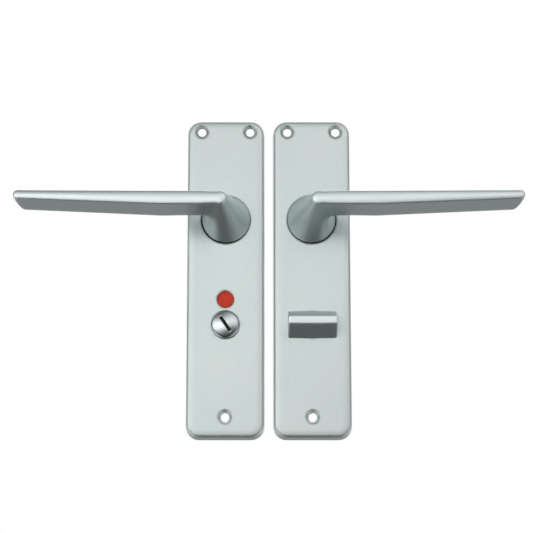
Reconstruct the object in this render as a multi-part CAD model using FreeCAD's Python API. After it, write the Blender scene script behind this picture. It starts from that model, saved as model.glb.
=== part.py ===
"""Bathroom door lever set on short backplates, laid out as a pair.

The left plate is the outside one, with a coin release and a red and green
indicator. The right plate is the inside one, with a thumb turn. Each lever
turns in a bush behind its plate and is brought back by a spiral spring.

Frame, in millimetres: +X to the right, +Z up along the plates, and the front
faces look towards -Y. The door's surface is the plane Y = 0. The origin is
where the outside lever's spindle axis meets it.
"""
import FreeCAD, Part
import math
import os

Vector = FreeCAD.Vector

# Backplates
plate_width = 46.0
plate_height = 190.7
plate_depth = 8.0
plate_top_above_spindle = 61.0
plate_front_wall = 2.2
plate_side_wall = 1.8
plate_corner_radius = 8.0
plate_wall_lean = 0.6
plate_edge_round = 1.2
plate_pitch = 50.7

# Wood screws, two at the top and one at the bottom
screw_hole_diameter = 4.9
screw_head_diameter = 8.4
screw_side_margin = 8.7
top_screw_margin = 7.1
bottom_screw_margin = 12.5

# Lever grip: a tapering blade, narrow in front and wide at the back
grip_reach = 120.0
grip_front_offset = 48.0
grip_depth = 16.0
grip_front_height_at_neck = 6.7
grip_front_height_at_tip = 4.1
grip_top_above_spindle = 6.1
grip_side_flare_at_neck = 3.6
grip_side_flare_at_tip = 3.1
grip_end_slant = 4.4
grip_end_round = 1.3
grip_end_overhang = 1.0
grip_tip_rise = 0.4
blade_squareness = 4.5
front_excess = 2.8
blade_row_shares = (0.06, 0.2, 0.4, 0.6, 0.8, 0.93, 0.98)
tip_round_angles = (0, 15, 30, 45, 60, 75)

# Lever neck: from a round foot, over a waist, to the blade
neck_foot_diameter = 28.2
neck_foot_height = 1.0
neck_waist_pull = 4.5
neck_waist_rise = 17.0
neck_bend_start = 12.0
neck_bend_end = 36.0
neck_corner_ease = 0.6
neck_corner_spread = 1.6
neck_corner_power = 4
neck_front_run = 2.0
section_steps = 32
neck_steps = 14

# How far the neck's section has gone from foot to blade, at evenly spaced places
neck_back_shares = (0, 0.55, 0.88, 0.97, 1)
neck_front_shares = (0, 0.50, 0.85, 0.99, 1)
neck_rise_shares = (0, 0.20, 0.95, 0.98, 1)
neck_squareness = (2.0, 2.0, 2.8, 4.0, blade_squareness)

# Bearing of the lever in its plate
lever_hole_gap = 0.5
lever_hole_chamfer = 0.1
foot_sink = 1.1
journal_diameter = 16.0
journal_flat = 14.0
running_gap = 0.05
face_gap = 0.1
bush_seat_gap = 0.1
bush_flange_width = 1.6
bush_flange_thickness = 0.9
bush_sleeve_diameter = 22.0
back_recess = 0.5

# Square spindles and their sockets
spindle_side = 8.0
socket_gap = 0.05
socket_depth = 24.0
lever_spindle_length = 90.0
turn_spindle_length = 66.0
spindle_edge_chamfer = 0.5

# Circlips
circlip_thickness = 1.0
circlip_groove_depth = 0.5
circlip_ring_width = 1.7
circlip_lug_radius = 1.3
circlip_lug_hole_radius = 0.6
circlip_opening_angle = 26.0
groove_side_gap = 0.05

# Return spring: round wire wound as a flat spiral
spring_wire = 1.2
spring_turns = 2.5
spring_pitch = 1.75
spring_inner_radius = 12.4
spring_front_gap = 0.15
spring_back_gap = 0.25

# Drive cam and its stops
cam_thickness = 1.1
cam_diameter = 22.6
cam_ear_reach = 16.9
cam_ear_half_angle = 12.0
cam_ear_direction = 270.0
cam_ear_root = 2.0
cam_pin_radius = 0.85
stop_half_angle = 8.0
stop_root = 0.6
stop_cam_gap = 0.7
stop_play_angle = 1.0
lever_travel = 40.0

# Carrier that fills the plate round the lever
carrier_half_height = 24.0
carrier_side_gap = 0.2
carrier_corner_radius = 3.0
chamber_diameter = 35.6
anchor_half_angle = 7.0

# Grub screw that clamps the spindle, from the top of the neck
grub_diameter = 5.0
grub_length = 6.0
grub_offset = 15.0
grub_key_size = 2.5
grub_key_depth = 2.6
thread_gap = 0.04

# Bathroom bolt fittings
bolt_drop = 63.0
knob_shank_diameter = 13.4
shank_flat = 11.8
knob_bush_wall = 0.9
knob_bush_flange = 1.9
knob_bush_flange_thickness = 0.8
knob_hole_chamfer = 0.1
washer_thickness = 0.6
washer_rim = 3.6

# Coin release
release_diameter = 16.9
release_stand = 3.6
release_face_radius = 6.6
release_crown_fall = 0.7
release_edge_drop = 1.5
release_edge_bulge = 0.3
release_socket_reach = 0.9
coin_slot_length = 10.2
coin_slot_width = 1.7
coin_slot_depth = 2.2
coin_slot_angle = -56.0

# Indicator
window_diameter = 9.9
window_edge_chamfer = 0.3
indicator_thickness = 0.8
field_thickness = 0.3
indicator_margin = 0.35
indicator_wall_gap = 0.365
field_half_angle = 21.5
field_inner_gap = 0.35
field_outer_gap = 0.1
bolt_travel = 90.0

# Thumb turn
turn_length = 28.5
turn_back_thickness = 15.5
turn_front_thickness = 4.7
turn_stand = 16.0
turn_corner_radius = 1.6
turn_bow = 0.4
turn_bow_radius = 300.0
turn_edge_round = 0.5
roll_pin_diameter = 2.0
roll_pin_bore = 0.9
roll_pin_slit = 0.4
roll_pin_gap = 0.02
roll_pin_inset = 0.3
roll_pin_end_gap = 0.5
turn_socket_reach = 6.0

# How far cutting tools reach past a face, and how near an edge counts as on it
overcut = 1.0
edge_tolerance = 0.01

# Levels along Y that follow from the sizes above
plate_front = -plate_depth
wall_back = plate_front + plate_front_wall
foot_back = plate_front + foot_sink
neck_start = plate_front - neck_foot_height
bush_nose_front = foot_back + face_gap
bush_flange_back = wall_back + bush_flange_thickness
spring_level = bush_flange_back + spring_front_gap + spring_wire / 2
cam_front = spring_level + spring_wire / 2 + spring_back_gap
bush_sleeve_back = cam_front - face_gap
cam_back = cam_front + cam_thickness
lever_groove_front = cam_back
grip_front = -grip_front_offset
grip_back = grip_front + grip_depth
shaft_end = -back_recess
groove_width = circlip_thickness + 2 * groove_side_gap

# Radii that follow
foot_radius = neck_foot_diameter / 2
lever_hole_radius = foot_radius + lever_hole_gap
journal_radius = journal_diameter / 2
shank_radius = knob_shank_diameter / 2
knob_bush_radius = shank_radius + running_gap + knob_bush_wall
knob_hole_radius = knob_bush_radius + bush_seat_gap
chamber_radius = chamber_diameter / 2
spring_outer_radius = spring_inner_radius + spring_turns * spring_pitch
pocket_half_width = plate_width / 2 - plate_side_wall + plate_wall_lean * wall_back / plate_depth
indicator_radius = pocket_half_width - indicator_wall_gap
window_rise = indicator_radius - indicator_margin - window_diameter / 2

# Places of the screw holes
screw_side_offset = plate_width / 2 - screw_side_margin
top_screw_height = plate_top_above_spindle - top_screw_margin
bottom_screw_drop = plate_height - plate_top_above_spindle - bottom_screw_margin

# Levels of the bolt fittings, from the bush's flange back to the shank's end
knob_flange_back = wall_back + knob_bush_flange_thickness
indicator_front = knob_flange_back + face_gap
indicator_back = indicator_front + indicator_thickness
release_washer_front = indicator_back + face_gap
release_groove_front = release_washer_front + washer_thickness
release_socket_front = plate_front - release_socket_reach
turn_washer_front = knob_flange_back + face_gap
turn_groove_front = turn_washer_front + washer_thickness
turn_socket_front = plate_front - turn_socket_reach
roll_pin_level = shaft_end - roll_pin_diameter / 2 - roll_pin_end_gap


def polar(radius, degrees, y):
    """Point at a radius and an angle seen from the front, 0 towards +X and 90 up."""
    angle = math.radians(degrees)
    return Vector(radius * math.cos(angle), y, radius * math.sin(angle))


def round_bar(radius, y_front, y_back):
    """Solid cylinder along Y, centred on the axis."""
    return Part.makeCylinder(radius, y_back - y_front, Vector(0, y_front, 0), Vector(0, 1, 0))


def ring(outer, inner, y_front, y_back):
    """Flat ring along Y."""
    return round_bar(outer, y_front, y_back).cut(round_bar(inner, y_front, y_back))


def square_bar(side, y_front, y_back):
    """Square bar along Y, with level sides."""
    return Part.makeBox(side, y_back - y_front, side, Vector(-side / 2, y_front, -side / 2))


def sector(outer, inner, start, end, y_front, y_back):
    """Part of a flat ring between two angles seen from the front."""
    middle = (start + end) / 2
    edges = [
        Part.LineSegment(polar(inner, start, y_front), polar(outer, start, y_front)).toShape(),
        Part.Arc(*[polar(outer, angle, y_front) for angle in (start, middle, end)]).toShape(),
        Part.LineSegment(polar(outer, end, y_front), polar(inner, end, y_front)).toShape(),
        Part.Arc(*[polar(inner, angle, y_front) for angle in (end, middle, start)]).toShape(),
    ]
    return Part.Face(Part.Wire(edges)).extrude(Vector(0, y_back - y_front, 0))


def rounded_outline(corners, radii, to_space):
    """Closed wire through plane corners, each rounded by its own radius."""
    runs = []
    count = len(corners)
    for index in range(count):
        here = Vector(*corners[index], 0)
        back = (Vector(*corners[index - 1], 0) - here).normalize()
        ahead = (Vector(*corners[(index + 1) % count], 0) - here).normalize()
        half = back.getAngle(ahead) / 2
        inward = (back + ahead).normalize()
        centre = here + inward * (radii[index] / math.sin(half))
        reach = radii[index] / math.tan(half)
        runs.append((here + back * reach, centre - inward * radii[index], here + ahead * reach))
    edges = []
    for index in range(count):
        start, middle, end = [to_space(point.x, point.y) for point in runs[index]]
        following = runs[(index + 1) % count][0]
        edges.append(Part.Arc(start, middle, end).toShape())
        edges.append(Part.LineSegment(end, to_space(following.x, following.y)).toShape())
    return Part.Wire(edges)


def rectangle_outline(width, bottom, top, radius, y):
    """Rounded rectangle in a plane of constant Y."""
    corners = [(-width / 2, bottom), (width / 2, bottom), (width / 2, top), (-width / 2, top)]
    return rounded_outline(corners, [radius] * 4, lambda x, z: Vector(x, y, z))


def moved(shape, x, z):
    """Copy of a shape moved across the door's surface."""
    copy = shape.copy()
    copy.translate(Vector(x, 0, z))
    return copy


def mirrored(shape):
    """Mirror image, left for right."""
    return shape.mirror(Vector(0, 0, 0), Vector(1, 0, 0))


def plate_blank():
    """Hollow plate: a shell with leaning side walls, open towards the door."""
    top = plate_top_above_spindle
    bottom = top - plate_height
    lean = plate_wall_lean

    def outline(inset, y):
        side = inset + lean * -y / plate_depth
        radius = plate_corner_radius - inset
        return rectangle_outline(plate_width - 2 * side, bottom + side, top - side, radius, y)

    outer = Part.makeLoft([outline(0, 0), outline(0, plate_front)], True, True)
    front_edges = [edge for edge in outer.Edges if edge.BoundBox.YMax < plate_front + edge_tolerance]
    outer = outer.makeFillet(plate_edge_round, front_edges)
    inside = [outline(plate_side_wall, overcut), outline(plate_side_wall, wall_back)]
    pocket = Part.makeLoft(inside, True, True)
    return outer.cut(pocket)


def screw_cut():
    """Countersunk hole for a wood screw, through the front wall."""
    hole = screw_hole_diameter / 2
    head = screw_head_diameter / 2
    depth = head - hole
    cone = Part.makeCone(head, hole, depth, Vector(0, plate_front, 0), Vector(0, 1, 0))
    return round_bar(hole, plate_front - overcut, wall_back + overcut).fuse(cone)


def chamfered_cut(radius, chamfer):
    """Round hole through the front wall with a broken front edge."""
    cone = Part.makeCone(radius + chamfer, radius, chamfer, Vector(0, plate_front, 0), Vector(0, 1, 0))
    return round_bar(radius, plate_front - overcut, wall_back + overcut).fuse(cone)


def drilled_plate(with_window):
    """Plate with its screw holes, lever hole, bolt hole and, outside, the window."""
    plate = plate_blank()
    cuts = [
        moved(screw_cut(), -screw_side_offset, top_screw_height),
        moved(screw_cut(), screw_side_offset, top_screw_height),
        moved(screw_cut(), 0, -bottom_screw_drop),
        chamfered_cut(lever_hole_radius, lever_hole_chamfer),
        moved(chamfered_cut(knob_hole_radius, knob_hole_chamfer), 0, -bolt_drop),
    ]
    if with_window:
        window = chamfered_cut(window_diameter / 2, window_edge_chamfer)
        cuts.append(moved(window, 0, window_rise - bolt_drop))
    for cut in cuts:
        plate = plate.cut(cut)
    return plate


def through(values, share):
    """Value at a share of the way along evenly spaced key values, smoothly joined."""
    last = len(values) - 1
    place = min(max(share, 0.0), 1.0) * last
    index = min(int(place), last - 1)
    part = place - index
    here, ahead = values[index], values[index + 1]
    before = values[index - 1] if index > 0 else 2 * here - ahead
    beyond = values[index + 2] if index + 2 <= last else 2 * ahead - here
    straight = (ahead - before) * part
    bend = (2 * before - 5 * here + 4 * ahead - beyond) * part ** 2
    swing = (-before + 3 * here - 3 * ahead + beyond) * part ** 3
    return 0.5 * (2 * here + straight + bend + swing)


def inner_side(share):
    """Point on the neck's inner side: from the foot, in to the waist and round to the grip's back."""
    controls = [
        Vector(-foot_radius, neck_start, 0),
        Vector(-neck_waist_pull, neck_start - neck_waist_rise, 0),
        Vector(-neck_bend_start, grip_back, 0),
        Vector(-neck_bend_end, grip_back, 0),
    ]
    weights = [(1 - share) ** 3, 3 * share * (1 - share) ** 2, 3 * share ** 2 * (1 - share), share ** 3]
    point = Vector(0, 0, 0)
    for weight, control in zip(weights, controls):
        point += control * weight
    return point


def outer_side(share):
    """Point on the neck's outer side: straight to the blade's end, then along its front."""
    corner = Vector(grip_end_overhang, grip_front - neck_corner_ease, 0)
    if share <= 0.5:
        return Vector(foot_radius, neck_start, 0) * (1 - 2 * share) + corner * (2 * share)
    past = 2 * share - 1
    left = (neck_bend_end + neck_front_run + grip_end_overhang) * past ** neck_corner_spread
    out = (front_excess - neck_corner_ease) * (1 - (1 - past) ** neck_corner_power)
    return Vector(corner.x - left, corner.y - out, 0)


def blade_halves(front_height, flare):
    """Half heights of a blade section at its very back and front, from its drawn sizes."""
    front_share = 1 - 2 * front_excess / (grip_depth + front_excess)
    fullness = (1 - front_share ** blade_squareness) ** (1 / blade_squareness)
    at_front = front_height / 2 / fullness
    at_back = (front_height / 2 + flare) / fullness
    middle = (at_front + at_back) / 2
    slope = (at_back - at_front) / 2 / front_share
    return middle + slope, middle - slope


def section_points(inner, outer, back_half, front_half, middle_z, squareness):
    """Closed row of points round a section that spans from its inner to its outer point."""
    centre = (inner + outer) / 2
    half = (outer - inner) / 2
    points = []
    for step in range(section_steps + 1):
        angle = 2 * math.pi * step / section_steps
        cosine = round(math.cos(angle), 12)
        sine = round(math.sin(angle), 12)
        along = math.copysign(abs(cosine) ** (2 / squareness), cosine)
        up = math.copysign(abs(sine) ** (2 / squareness), sine)
        height = (back_half + front_half) / 2 + (front_half - back_half) / 2 * along
        place = centre + half * along
        points.append(Vector(place.x, place.y, middle_z + height * up))
    return points


def lever_rows():
    """Rows of points from the foot, up the neck, round its bend and out to the tip."""
    root_back, root_front = blade_halves(grip_front_height_at_neck, grip_side_flare_at_neck)
    tip_back, tip_front = blade_halves(grip_front_height_at_tip, grip_side_flare_at_tip)
    root_middle = grip_top_above_spindle - grip_front_height_at_neck / 2
    tip_middle = grip_top_above_spindle + grip_tip_rise - grip_front_height_at_tip / 2
    backs = [foot_radius + (root_back - foot_radius) * share for share in neck_back_shares]
    fronts = [foot_radius + (root_front - foot_radius) * share for share in neck_front_shares]
    middles = [root_middle * share for share in neck_rise_shares]
    rows = []
    for step in range(neck_steps + 1):
        share = step / neck_steps
        rows.append(section_points(
            inner_side(share),
            outer_side(share),
            through(backs, share),
            through(fronts, share),
            through(middles, share),
            through(neck_squareness, share),
        ))
    root_inner = inner_side(1)
    root_outer = outer_side(1)
    slant = grip_end_slant / grip_depth
    tip_inner = Vector(-grip_reach + grip_end_slant, grip_back, 0)
    tip_outer = Vector(-grip_reach - slant * front_excess, grip_front - front_excess, 0)

    def blade_row(share, inset, advance):
        inner = root_inner + (tip_inner - root_inner) * share + Vector(-advance, -inset, 0)
        outer = root_outer + (tip_outer - root_outer) * share + Vector(-advance, inset, 0)
        return section_points(
            inner,
            outer,
            root_back + (tip_back - root_back) * share - inset,
            root_front + (tip_front - root_front) * share - inset,
            root_middle + (tip_middle - root_middle) * share,
            blade_squareness,
        )

    end_share = 1 - grip_end_round / (grip_reach - neck_bend_end)
    for share in blade_row_shares:
        rows.append(blade_row(share * end_share, 0, 0))
    for degrees in tip_round_angles:
        turn = math.radians(degrees)
        inset = grip_end_round * (1 - math.cos(turn))
        rows.append(blade_row(end_share, inset, grip_end_round * math.sin(turn)))
    return rows


def lever_skin():
    """Closed solid of the grip, neck and foot, cut flat in front."""
    surface = Part.BSplineSurface()
    surface.interpolate(lever_rows())
    side = surface.toShape()
    ends = [Part.Face(Part.Wire([edge])) for edge in side.Edges if edge.isClosed()]
    shell = Part.makeShell([side] + ends)
    shell.sewShape()
    skin = Part.makeSolid(shell)
    if skin.Volume < 0:
        skin.reverse()
    foot_end = max(ends, key=lambda end: end.CenterOfMass.y)
    foot = foot_end.extrude(Vector(0, foot_back - neck_start, 0))
    reach = 2 * grip_reach
    height = 4 * foot_radius
    corner = Vector(grip_end_overhang + foot_radius - reach, grip_front - grip_depth, -height / 2)
    excess = Part.makeBox(reach, grip_depth, height, corner)
    return skin.fuse(foot).cut(excess)


def lever():
    """Whole lever pointing left: grip, neck, journal, spindle socket and grub hole."""
    journal = round_bar(journal_radius, foot_back, shaft_end)
    flat_height = journal_diameter
    for side in (-1, 1):
        flat_bottom = (side * (journal_flat + flat_height) - flat_height) / 2
        flat = Part.makeBox(
            journal_diameter,
            shaft_end - bush_sleeve_back + overcut,
            flat_height,
            Vector(-journal_radius, bush_sleeve_back, flat_bottom),
        )
        journal = journal.cut(flat)
    groove = ring(
        journal_radius + overcut,
        journal_radius - circlip_groove_depth,
        lever_groove_front,
        lever_groove_front + groove_width,
    )
    journal = journal.cut(groove)
    body = lever_skin().fuse(journal).removeSplitter()
    socket = square_bar(spindle_side + 2 * socket_gap, shaft_end - socket_depth, shaft_end + overcut)
    grub_hole = Part.makeCylinder(
        grub_diameter / 2 + thread_gap, neck_foot_diameter, Vector(0, -grub_offset, 0), Vector(0, 0, 1)
    )
    return body.cut(socket).cut(grub_hole)


def lever_bush():
    """Nylon bearing: a nose in the plate's hole, a flange behind it and a sleeve inside the spring."""
    bore = journal_radius + running_gap
    nose = ring(lever_hole_radius - bush_seat_gap, bore, bush_nose_front, wall_back)
    flange = ring(lever_hole_radius + bush_flange_width, bore, wall_back, bush_flange_back)
    sleeve = ring(bush_sleeve_diameter / 2, bore, bush_flange_back, bush_sleeve_back)
    return nose.fuse(flange).fuse(sleeve).removeSplitter()


def keyed_hole(radius, across_flats, y_front, y_back):
    """Tool that cuts a hole for a shaft with two flats, one above and one below."""
    bar = round_bar(radius + running_gap, y_front - overcut, y_back + overcut)
    height = across_flats + 2 * running_gap
    corner = Vector(-2 * radius, y_front - overcut, -height / 2)
    slab = Part.makeBox(4 * radius, y_back - y_front + 2 * overcut, height, corner)
    return bar.common(slab)


def drive_cam():
    """Cam keyed to the lever's journal, with an ear between two stops and a pin for the spring."""
    disc = round_bar(cam_diameter / 2, cam_front, cam_back)
    ear_start = cam_ear_direction - cam_ear_half_angle
    ear_end = cam_ear_direction + cam_ear_half_angle
    ear = sector(cam_ear_reach, cam_diameter / 2 - cam_ear_root, ear_start, ear_end, cam_front, cam_back)
    pin_place = polar(spring_inner_radius, cam_ear_direction, spring_level - spring_wire / 2)
    pin = Part.makeCylinder(cam_pin_radius, cam_front - pin_place.y, pin_place, Vector(0, 1, 0))
    cam = disc.fuse(ear).fuse(pin).removeSplitter()
    return cam.cut(keyed_hole(journal_radius, journal_flat, cam_front, cam_back))


def spring_arcs():
    """Half turns of the spiral as centre, radius and start angle, each a little wider than the last."""
    clearance = math.degrees((cam_pin_radius + face_gap) / spring_inner_radius)
    start = cam_ear_direction + clearance
    arcs = []
    for index in range(round(2 * spring_turns)):
        side = -1 if index % 2 == 0 else 1
        centre = polar(side * spring_pitch / 4, start, spring_level)
        radius = spring_inner_radius + spring_pitch / 4 + index * spring_pitch / 2
        arcs.append((centre, radius, start + 180 * index))
    return arcs


def return_spring():
    """Round wire wound as a flat spiral, from the cam's pin out to the carrier's anchor."""
    edges = []
    for centre, radius, start in spring_arcs():
        points = [centre + polar(radius, start + turn, 0) for turn in (0, 90, 180)]
        edges.append(Part.Arc(*points).toShape())
    centre, radius, start = spring_arcs()[0]
    heading = polar(1, start + 90, 0)
    section = Part.Circle(centre + polar(radius, start, 0), heading, spring_wire / 2)
    return Part.Wire(edges).makePipeShell([Part.Wire([section.toShape()])], True, False)


def spring_gap():
    """Least gap of the spring to itself, measured between points on its centre line."""
    points = []
    for centre, radius, start in spring_arcs():
        for turn in range(0, 180, 3):
            points.append(centre + polar(radius, start + turn, 0))
    steps_apart = 60
    gaps = [
        first.distanceToPoint(second) - spring_wire
        for index, first in enumerate(points)
        for second in points[index + steps_apart:]
    ]
    return min(gaps)


def circlip(shaft_radius, y_front, opening_direction):
    """External circlip in its groove, with two lugs beside its opening."""
    inner = shaft_radius - circlip_groove_depth + running_gap / 2
    outer = inner + circlip_ring_width
    y_back = y_front + circlip_thickness
    clip = ring(outer, inner, y_front, y_back)
    half = circlip_opening_angle / 2
    lug_half = math.degrees(circlip_lug_radius / outer)
    for side in (-1, 1):
        place = polar(outer, opening_direction + side * (half + lug_half), y_front)
        clip = clip.fuse(Part.makeCylinder(circlip_lug_radius, circlip_thickness, place, Vector(0, 1, 0)))
    opening = sector(
        outer + 2 * circlip_lug_radius,
        inner / 2,
        opening_direction - half,
        opening_direction + half,
        y_front - overcut,
        y_back + overcut,
    )
    clip = clip.cut(opening).cut(round_bar(inner, y_front - overcut, y_back + overcut))
    for side in (-1, 1):
        place = polar(outer, opening_direction + side * (half + lug_half), y_front - overcut)
        depth = circlip_thickness + 2 * overcut
        clip = clip.cut(Part.makeCylinder(circlip_lug_hole_radius, depth, place, Vector(0, 1, 0)))
    return clip


def carrier():
    """Nylon block round the lever's bearing, with the spring's chamber, its anchor and two stops."""
    half_width = pocket_half_width - carrier_side_gap
    outline = rectangle_outline(
        2 * half_width, -carrier_half_height, carrier_half_height, carrier_corner_radius, wall_back
    )
    block = Part.Face(outline).extrude(Vector(0, -wall_back, 0))
    block = block.cut(round_bar(chamber_radius, wall_back - overcut, overcut))
    rooted = chamber_radius + stop_root
    ear_start = cam_ear_direction - cam_ear_half_angle - stop_play_angle
    ear_end = cam_ear_direction + cam_ear_half_angle + lever_travel + stop_play_angle
    stop_inner = cam_diameter / 2 + stop_cam_gap
    stop_front = cam_front - face_gap
    low_stop = sector(rooted, stop_inner, ear_start - 2 * stop_half_angle, ear_start, stop_front, shaft_end)
    high_stop = sector(rooted, stop_inner, ear_end, ear_end + 2 * stop_half_angle, stop_front, shaft_end)
    centre, radius, start = spring_arcs()[-1]
    end = start + 180 + math.degrees(face_gap / spring_outer_radius)
    anchor = sector(
        rooted, spring_outer_radius - spring_wire / 2, end, end + 2 * anchor_half_angle,
        bush_flange_back + face_gap, shaft_end
    )
    return block.fuse(low_stop).fuse(high_stop).fuse(anchor).removeSplitter()


def grub_screw():
    """Socket set screw, seated just off the spindle."""
    foot = spindle_side / 2 + 2 * socket_gap
    screw = Part.makeCylinder(grub_diameter / 2, grub_length, Vector(0, -grub_offset, foot), Vector(0, 0, 1))
    corner = grub_key_size / math.sqrt(3)
    top = foot + grub_length
    points = []
    for step in range(7):
        angle = math.radians(60 * step)
        points.append(Vector(
            corner * math.cos(angle), -grub_offset + corner * math.sin(angle), top - grub_key_depth
        ))
    key = Part.Face(Part.makePolygon(points)).extrude(Vector(0, 0, grub_key_depth + overcut))
    return screw.cut(key)


def chamfered_square_bar(side, y_front, y_back):
    """Square bar with all edges at both ends broken."""
    bar = square_bar(side, y_front, y_back)
    end_edges = [
        edge for edge in bar.Edges
        if edge.BoundBox.YMax < y_front + edge_tolerance or edge.BoundBox.YMin > y_back - edge_tolerance
    ]
    return bar.makeChamfer(spindle_edge_chamfer, end_edges)


def lever_spindle():
    """Square bar that stands in the inside lever's socket and reaches through the lock."""
    front = shaft_end - socket_depth + 2 * face_gap
    return chamfered_square_bar(spindle_side, front, front + lever_spindle_length)


def knob_bush():
    """Nylon bush for a bolt shank: a nose in the plate's hole and a flange behind it."""
    bore = shank_radius + running_gap
    nose = ring(knob_bush_radius, bore, plate_front + face_gap, wall_back)
    flange = ring(knob_bush_radius + knob_bush_flange, bore, wall_back, knob_flange_back)
    return nose.fuse(flange).removeSplitter()


def shank(flattened, groove_front, y_front):
    """Round shank behind a knob, with a circlip groove and, where asked, two flats."""
    bar = round_bar(shank_radius, y_front, shaft_end)
    if flattened:
        flats = shank_flat - 2 * running_gap
        key = keyed_hole(shank_radius - running_gap, flats, knob_flange_back, shaft_end)
        plain = round_bar(shank_radius + overcut, knob_flange_back, shaft_end + overcut)
        bar = bar.cut(plain.cut(key))
    groove_floor = shank_radius - circlip_groove_depth
    groove = ring(shank_radius + overcut, groove_floor, groove_front, groove_front + groove_width)
    return bar.cut(groove)


def coin_release():
    """Turned release knob with a domed face, a rounded edge and a coin slot, on a socketed shank."""
    radius = release_diameter / 2
    back = plate_front - face_gap
    crown = plate_front - release_stand
    face_edge = crown + release_crown_fall
    foot = face_edge + release_edge_drop
    chord = Vector(radius - release_face_radius, release_edge_drop, 0)
    outward = Vector(chord.y, -chord.x, 0).normalize()
    bulge = Vector(release_face_radius, face_edge, 0) + chord / 2 + outward * release_edge_bulge
    profile = [
        Part.LineSegment(Vector(0, back, 0), Vector(0, crown, 0)).toShape(),
        Part.Arc(
            Vector(0, crown, 0),
            Vector(release_face_radius / 2, crown + release_crown_fall / 4, 0),
            Vector(release_face_radius, face_edge, 0),
        ).toShape(),
        Part.Arc(Vector(release_face_radius, face_edge, 0), bulge, Vector(radius, foot, 0)).toShape(),
        Part.LineSegment(Vector(radius, foot, 0), Vector(radius, back, 0)).toShape(),
        Part.LineSegment(Vector(radius, back, 0), Vector(0, back, 0)).toShape(),
    ]
    head = Part.Face(Part.Wire(profile)).revolve(Vector(0, 0, 0), Vector(0, 1, 0), 360)
    slot = Part.makeBox(
        coin_slot_length, coin_slot_depth + overcut, coin_slot_width,
        Vector(-coin_slot_length / 2, crown - overcut, -coin_slot_width / 2)
    )
    slot.rotate(Vector(0, 0, 0), Vector(0, 1, 0), -coin_slot_angle)
    knob = head.cut(slot).fuse(shank(True, release_groove_front, back))
    return knob.removeSplitter().cut(square_bar(spindle_side + 2 * socket_gap, release_socket_front, overcut))


def indicator_disc():
    """Flag behind the window, keyed to the release's shank."""
    hub = round_bar(knob_bush_radius + knob_bush_flange, indicator_front, indicator_back)
    flag = sector(
        indicator_radius, knob_bush_radius, -field_half_angle, bolt_travel + field_half_angle,
        indicator_front, indicator_back
    )
    disc = hub.fuse(flag).removeSplitter()
    return disc.cut(keyed_hole(shank_radius, shank_flat, indicator_front, indicator_back))


def indicator_field(direction):
    """Coloured foil on the flag, as wide as the window."""
    inner = knob_bush_radius + knob_bush_flange + field_inner_gap
    return sector(
        indicator_radius - field_outer_gap, inner, direction - field_half_angle, direction + field_half_angle,
        indicator_front - field_thickness, indicator_front
    )


def shank_washer(y_front):
    """Steel washer on a bolt shank."""
    return ring(shank_radius + washer_rim, shank_radius + running_gap, y_front, y_front + washer_thickness)


def bowed_outline(length, half_height, y):
    """Rounded rectangle whose long sides bow out a little in their middle."""
    peak = half_height + turn_bow
    corners = [
        (-length / 2, -half_height), (0, -peak), (length / 2, -half_height),
        (length / 2, half_height), (0, peak), (-length / 2, half_height),
    ]
    radii = [turn_corner_radius, turn_bow_radius, turn_corner_radius] * 2
    return rounded_outline(corners, radii, lambda x, z: Vector(x, y, z))


def thumb_turn():
    """Wedge-shaped turn, thick at the plate and thin in front, on a socketed shank."""
    back = plate_front - face_gap
    front = plate_front - turn_stand
    wide = bowed_outline(turn_length, turn_back_thickness / 2 - turn_bow, back)
    narrow = bowed_outline(turn_length, turn_front_thickness / 2 - turn_bow, front)
    wedge = Part.makeLoft([wide, narrow], True, True)
    edges = [edge for edge in wedge.Edges if edge.BoundBox.YMax < front + edge_tolerance]
    wedge = wedge.makeFillet(turn_edge_round, edges)
    body = wedge.fuse(shank(False, turn_groove_front, back)).removeSplitter()
    body = body.cut(square_bar(spindle_side + 2 * socket_gap, turn_socket_front, overcut))
    return body.cut(roll_pin_hole(roll_pin_diameter / 2 + roll_pin_gap, 2 * shank_radius))


def roll_pin_hole(radius, length):
    """Level cylinder across the shank, where the roll pin goes."""
    return Part.makeCylinder(radius, length, Vector(-length / 2, roll_pin_level, 0), Vector(1, 0, 0))


def turn_spindle():
    """Square bar pinned in the turn, which reaches through the lock."""
    front = turn_socket_front + 2 * face_gap
    bar = chamfered_square_bar(spindle_side, front, front + turn_spindle_length)
    return bar.cut(roll_pin_hole(roll_pin_diameter / 2 + roll_pin_gap, 2 * spindle_side))


def roll_pin():
    """Slotted spring pin through shank and spindle."""
    length = 2 * (shank_radius - roll_pin_inset)
    past = length + 2 * overcut
    pin = roll_pin_hole(roll_pin_diameter / 2, length).cut(roll_pin_hole(roll_pin_bore / 2, past))
    slit = Part.makeBox(
        past, roll_pin_diameter, roll_pin_slit, Vector(-past / 2, roll_pin_level, -roll_pin_slit / 2)
    )
    return pin.cut(slit)


def lever_unit():
    """Pieces of one lever's side, pointing left."""
    return {
        "lever": lever(),
        "lever_bush": lever_bush(),
        "spring_carrier": carrier(),
        "return_spring": return_spring(),
        "drive_cam": drive_cam(),
        "lever_circlip": circlip(journal_radius, lever_groove_front + groove_side_gap, 0),
        "grub_screw": grub_screw(),
    }


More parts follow.
